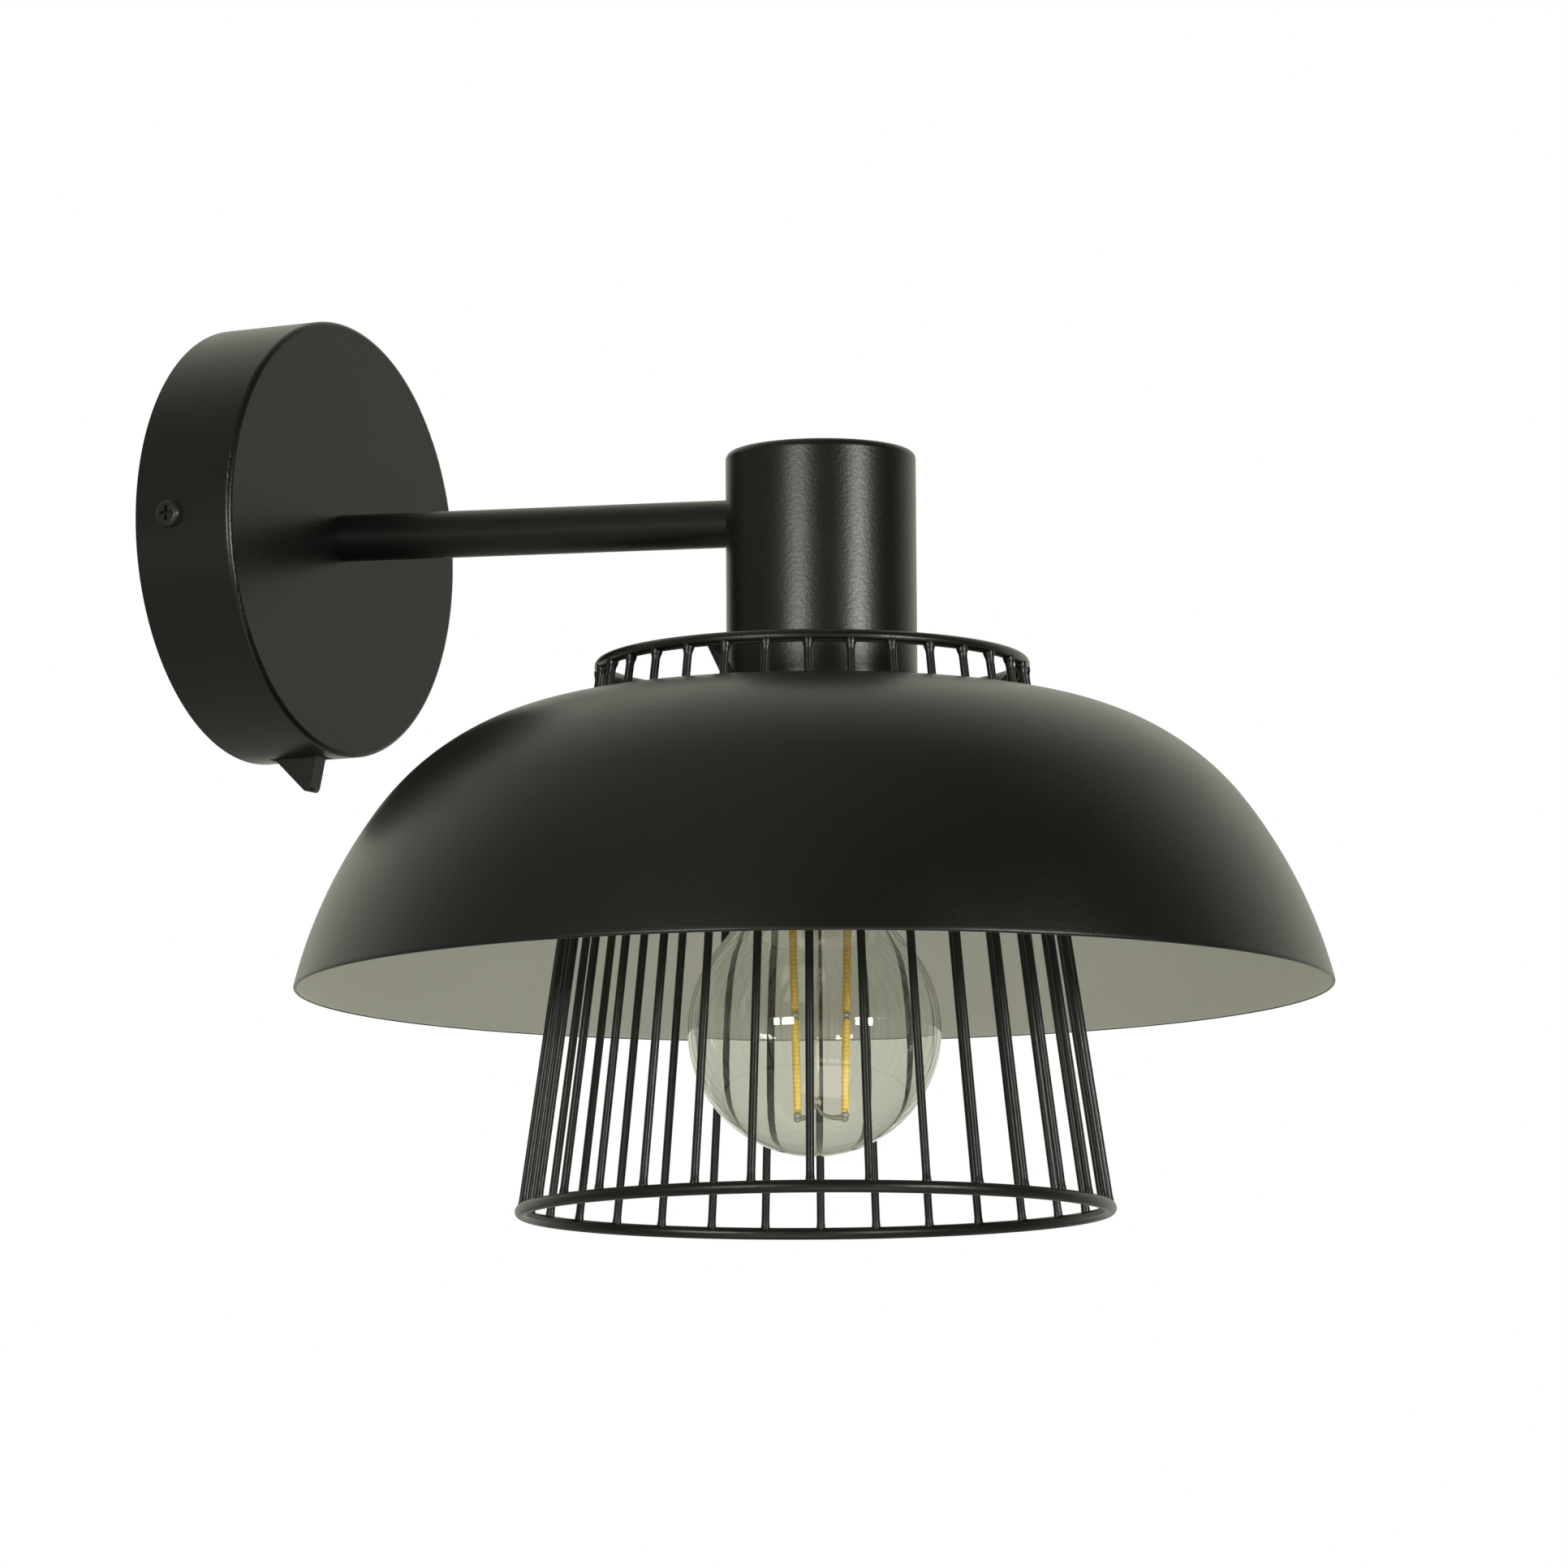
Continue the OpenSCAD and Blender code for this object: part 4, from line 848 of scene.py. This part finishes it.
def threaded_skirt():
    """The lampholder's skirt: a coarse round thread outside, cut into the radius by half
    its depth times one minus the wave, plain ends, and a bore with a step for the core."""
    bore, wide = 14.2 * MM, SKIRT_R - 2.0 * MM
    chamfer, step = 0.4 * MM, SKIRT_TOP - 8 * MM
    pitch, deep, fade = 3.0 * MM, 0.7 * MM, 1.5 * MM
    thread_low, thread_top, thread_rows = SKIRT_LOW + 0.5 * MM, SKIRT_TOP - 6 * MM, 120
    z = np.linspace(thread_low, thread_top, thread_rows)
    outside = SKIRT_R - deep * (1 - thread_wave(z, pitch)) / 2 * faded_ends(z, fade)
    rows = np.concatenate([
        hoops(
            (bore, SKIRT_LOW + chamfer), (bore + chamfer, SKIRT_LOW),
            (SKIRT_R - 0.5 * MM, SKIRT_LOW),
        ),
        wound(outside, z),
        hoops((SKIRT_R, SKIRT_TOP), (wide, SKIRT_TOP), (wide, step), (bore, step)),
    ])
    piece_from(
        "holder_threaded_skirt", [lathe(rows, THREAD_COLUMNS)], "fixture", ["holder_skirt"],
        "holder_plastic", closed_rows=True,
    )


# ---- rocker ----

ROCKER_ROUNDING, ROCKER_WELD = 0.7 * MM, 0.002 * MM


def soft_rocker():
    """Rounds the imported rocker's edges: its loose triangles are welded, then bevelled."""
    rocker = NODES["switch_rocker"]
    weld = rocker.modifiers.new("weld", "WELD")
    weld.merge_threshold = ROCKER_WELD
    bevel = rocker.modifiers.new("edge", "BEVEL")
    bevel.width = ROCKER_ROUNDING
    bevel.segments = 2
    bevel.limit_method = "ANGLE"
    bevel.angle_limit = EDGE


# ---- all pieces ----

soft_rocker()
dome_sheet()
upright_wires()
bulb_envelope()
bulb_stem()
filament_sticks()
filament_wires()
screw_shell()
threaded_skirt()

# ---- camera ----

# The fitted camera: its focal length in pixels of the frame, its bearing from the wall
# light, its roll, its distance from the point it aims at, and how far it is slid across
FRAME_PX = 1932
FOCAL_PX = 10316.5
SENSOR_MM = 36.0
AZIMUTH, ELEVATION, ROLL = (math.radians(d) for d in (-62.083, -7.554, -0.355))
DISTANCE = 2.01605
AIM = np.array([0.0, -0.161034, -0.060])
SLIDE_RIGHT, SLIDE_UP = -0.0093, -0.010486


def bearing(azimuth, elevation):
    """Unit vector from the wall light towards a place at that azimuth and elevation. Azimuth
    0 is straight out of the wall and grows towards +x."""
    return np.array([
        math.sin(azimuth) * math.cos(elevation),
        -math.cos(azimuth) * math.cos(elevation),
        math.sin(elevation),
    ])


def level_axes(back):
    """The level direction to the right of something that faces against back, and its up."""
    right = unit(np.cross([0, 0, 1], back))
    return right, np.cross(back, right)


def stood(right, up, back, spot):
    """World matrix with those axes at that spot."""
    rows = np.column_stack([right, up, back, spot])
    return Matrix([*rows.tolist(), (0, 0, 0, 1)])


def place_camera():
    """Camera where the fit puts it: back from the aim, slid across, and rolled a little."""
    back = bearing(AZIMUTH, ELEVATION)
    level, rise = level_axes(back)
    right = level * math.cos(ROLL) + rise * math.sin(ROLL)
    up = rise * math.cos(ROLL) - level * math.sin(ROLL)
    lens = bpy.data.cameras.new("photo_camera")
    lens.sensor_width = SENSOR_MM
    lens.lens = SENSOR_MM * FOCAL_PX / FRAME_PX
    lens.clip_start, lens.clip_end = 0.05, 50
    camera = shown("photo_camera", lens)
    spot = AIM + back * DISTANCE + right * SLIDE_RIGHT + up * SLIDE_UP
    camera.matrix_world = stood(right, up, back, spot)
    bpy.context.scene.camera = camera


place_camera()

# ---- studio ----

STUDIO_AIM = np.array([0, -0.16, -0.06])
LAMP_TINT = (1.0, 1.0, 0.92)
ROOM_TINT = (1.0, 1.0, 0.86)
WHITE = (1.0, 1.0, 1.0)

# How bright the room is: everywhere, behind the light, to its left, overhead, low in front,
# and to rays that have passed through glass
DIM, BEHIND, LEFT, OVERHEAD, LOW_FRONT, THROUGH_GLASS = 0.028, 0.87, 0.22, 0.12, 0.75, 0.60

# Azimuth and elevation of the pale place on the left
LEFT_BEARING = (math.radians(-135), math.radians(42))

FLOOR_HALF, FLOOR_Z = 8.0, -2.4
FLOOR_WHITE = (1.0, 1.0, 0.99, 1.0)

# How much of the floor is plain white to the camera near by, and how far out that grows to
# all of it
NEAR_SHARE, FADE_START, FADE_END = 0.6, 3.0, 7.5


def softbox(name, azimuth, elevation, distance, size, power):
    """Rectangular lamp at that bearing in degrees, upright and turned to the wall light.
    The camera doesn't see it."""
    back = bearing(math.radians(azimuth), math.radians(elevation))
    lamp = bpy.data.lights.new(name, "AREA")
    lamp.shape = "RECTANGLE"
    lamp.size, lamp.size_y = size
    lamp.energy = power
    lamp.color = LAMP_TINT
    holder = shown(name, lamp)
    holder.visible_camera = False
    holder.matrix_world = stood(*level_axes(back), back, STUDIO_AIM + back * distance)


softbox("left_softbox", azimuth=-90, elevation=3.5, distance=1.6, size=(0.52, 0.36), power=9.5)
softbox("right_softbox", azimuth=-17, elevation=3.5, distance=1.6, size=(0.46, 0.36), power=14.5)
softbox("low_softbox", azimuth=-45, elevation=-52, distance=1.7, size=(1.1, 1.1), power=4.5)


def studio_world():
    """Pale room: bright behind the light and low in front, less so to the left and
    overhead, and dim on the camera's side. Camera rays see plain white, and rays through
    glass a pale grey."""
    room = Graph(bpy.data.worlds.new("studio"), "Generated", "ShaderNodeOutputWorld")
    away = room.spot.dot(-bearing(AZIMUTH, ELEVATION))
    height = room.spot.part("Z")
    behind = away.band(0.06, 0.95)
    left = room.spot.dot(bearing(*LEFT_BEARING)).band(0.3, 0.95)
    overhead = height.band(0.65, 1.0)
    low_front = away.band(-0.2, -0.9) * height.band(0.03, -0.10)
    glow = DIM + behind * BEHIND + left * LEFT + overhead * OVERHEAD + low_front * LOW_FRONT
    seen, through = room.rays("Camera"), room.rays("Transmission")
    strength = glow * (1 - seen) * (1 - through) + through * THROUGH_GLASS + seen
    tint = room.blend(seen, ROOM_TINT, WHITE)
    sky = room.node("ShaderNodeBackground", values={"Color": tint, "Strength": strength})
    bpy.context.scene.world = room.close(sky)


def pale_floor():
    """Wide pale floor, faintly mottled, as far down as below a light on a wall. To camera
    rays it is mostly plain near-white, and all of it far out, where it meets the backdrop."""
    signs = ((-1, -1), (1, -1), (1, 1), (-1, 1))
    corners = [(x * FLOOR_HALF, y * FLOOR_HALF, FLOOR_Z) for x, y in signs]
    mesh = bpy.data.meshes.new("studio_floor")
    mesh.from_pydata(corners, [], [(0, 1, 2, 3)])
    f = Graph(bpy.data.materials.new("pale_floor"))
    clouds = f.speckle(600, detail=3)
    base = f.blend(clouds, (0.70, 0.70, 0.69), (0.74, 0.74, 0.73))
    rough = clouds * 0.1 + 0.6
    ground = f.shader(Base_Color=base, Roughness=rough, Normal=f.bump(f.speckle(3), 0.1))
    white = f.node("ShaderNodeEmission", values={"Color": FLOOR_WHITE})
    far = f.spot.length().band(FADE_START, FADE_END)
    share = f.rays("Camera") * (far * (1 - NEAR_SHARE) + NEAR_SHARE)
    mesh.materials.append(f.close(f.mixed(share, ground, white)))
    floor = shown("studio_floor", mesh)


studio_world()
pale_floor()
bpy.context.scene.view_settings.view_transform = "Standard"
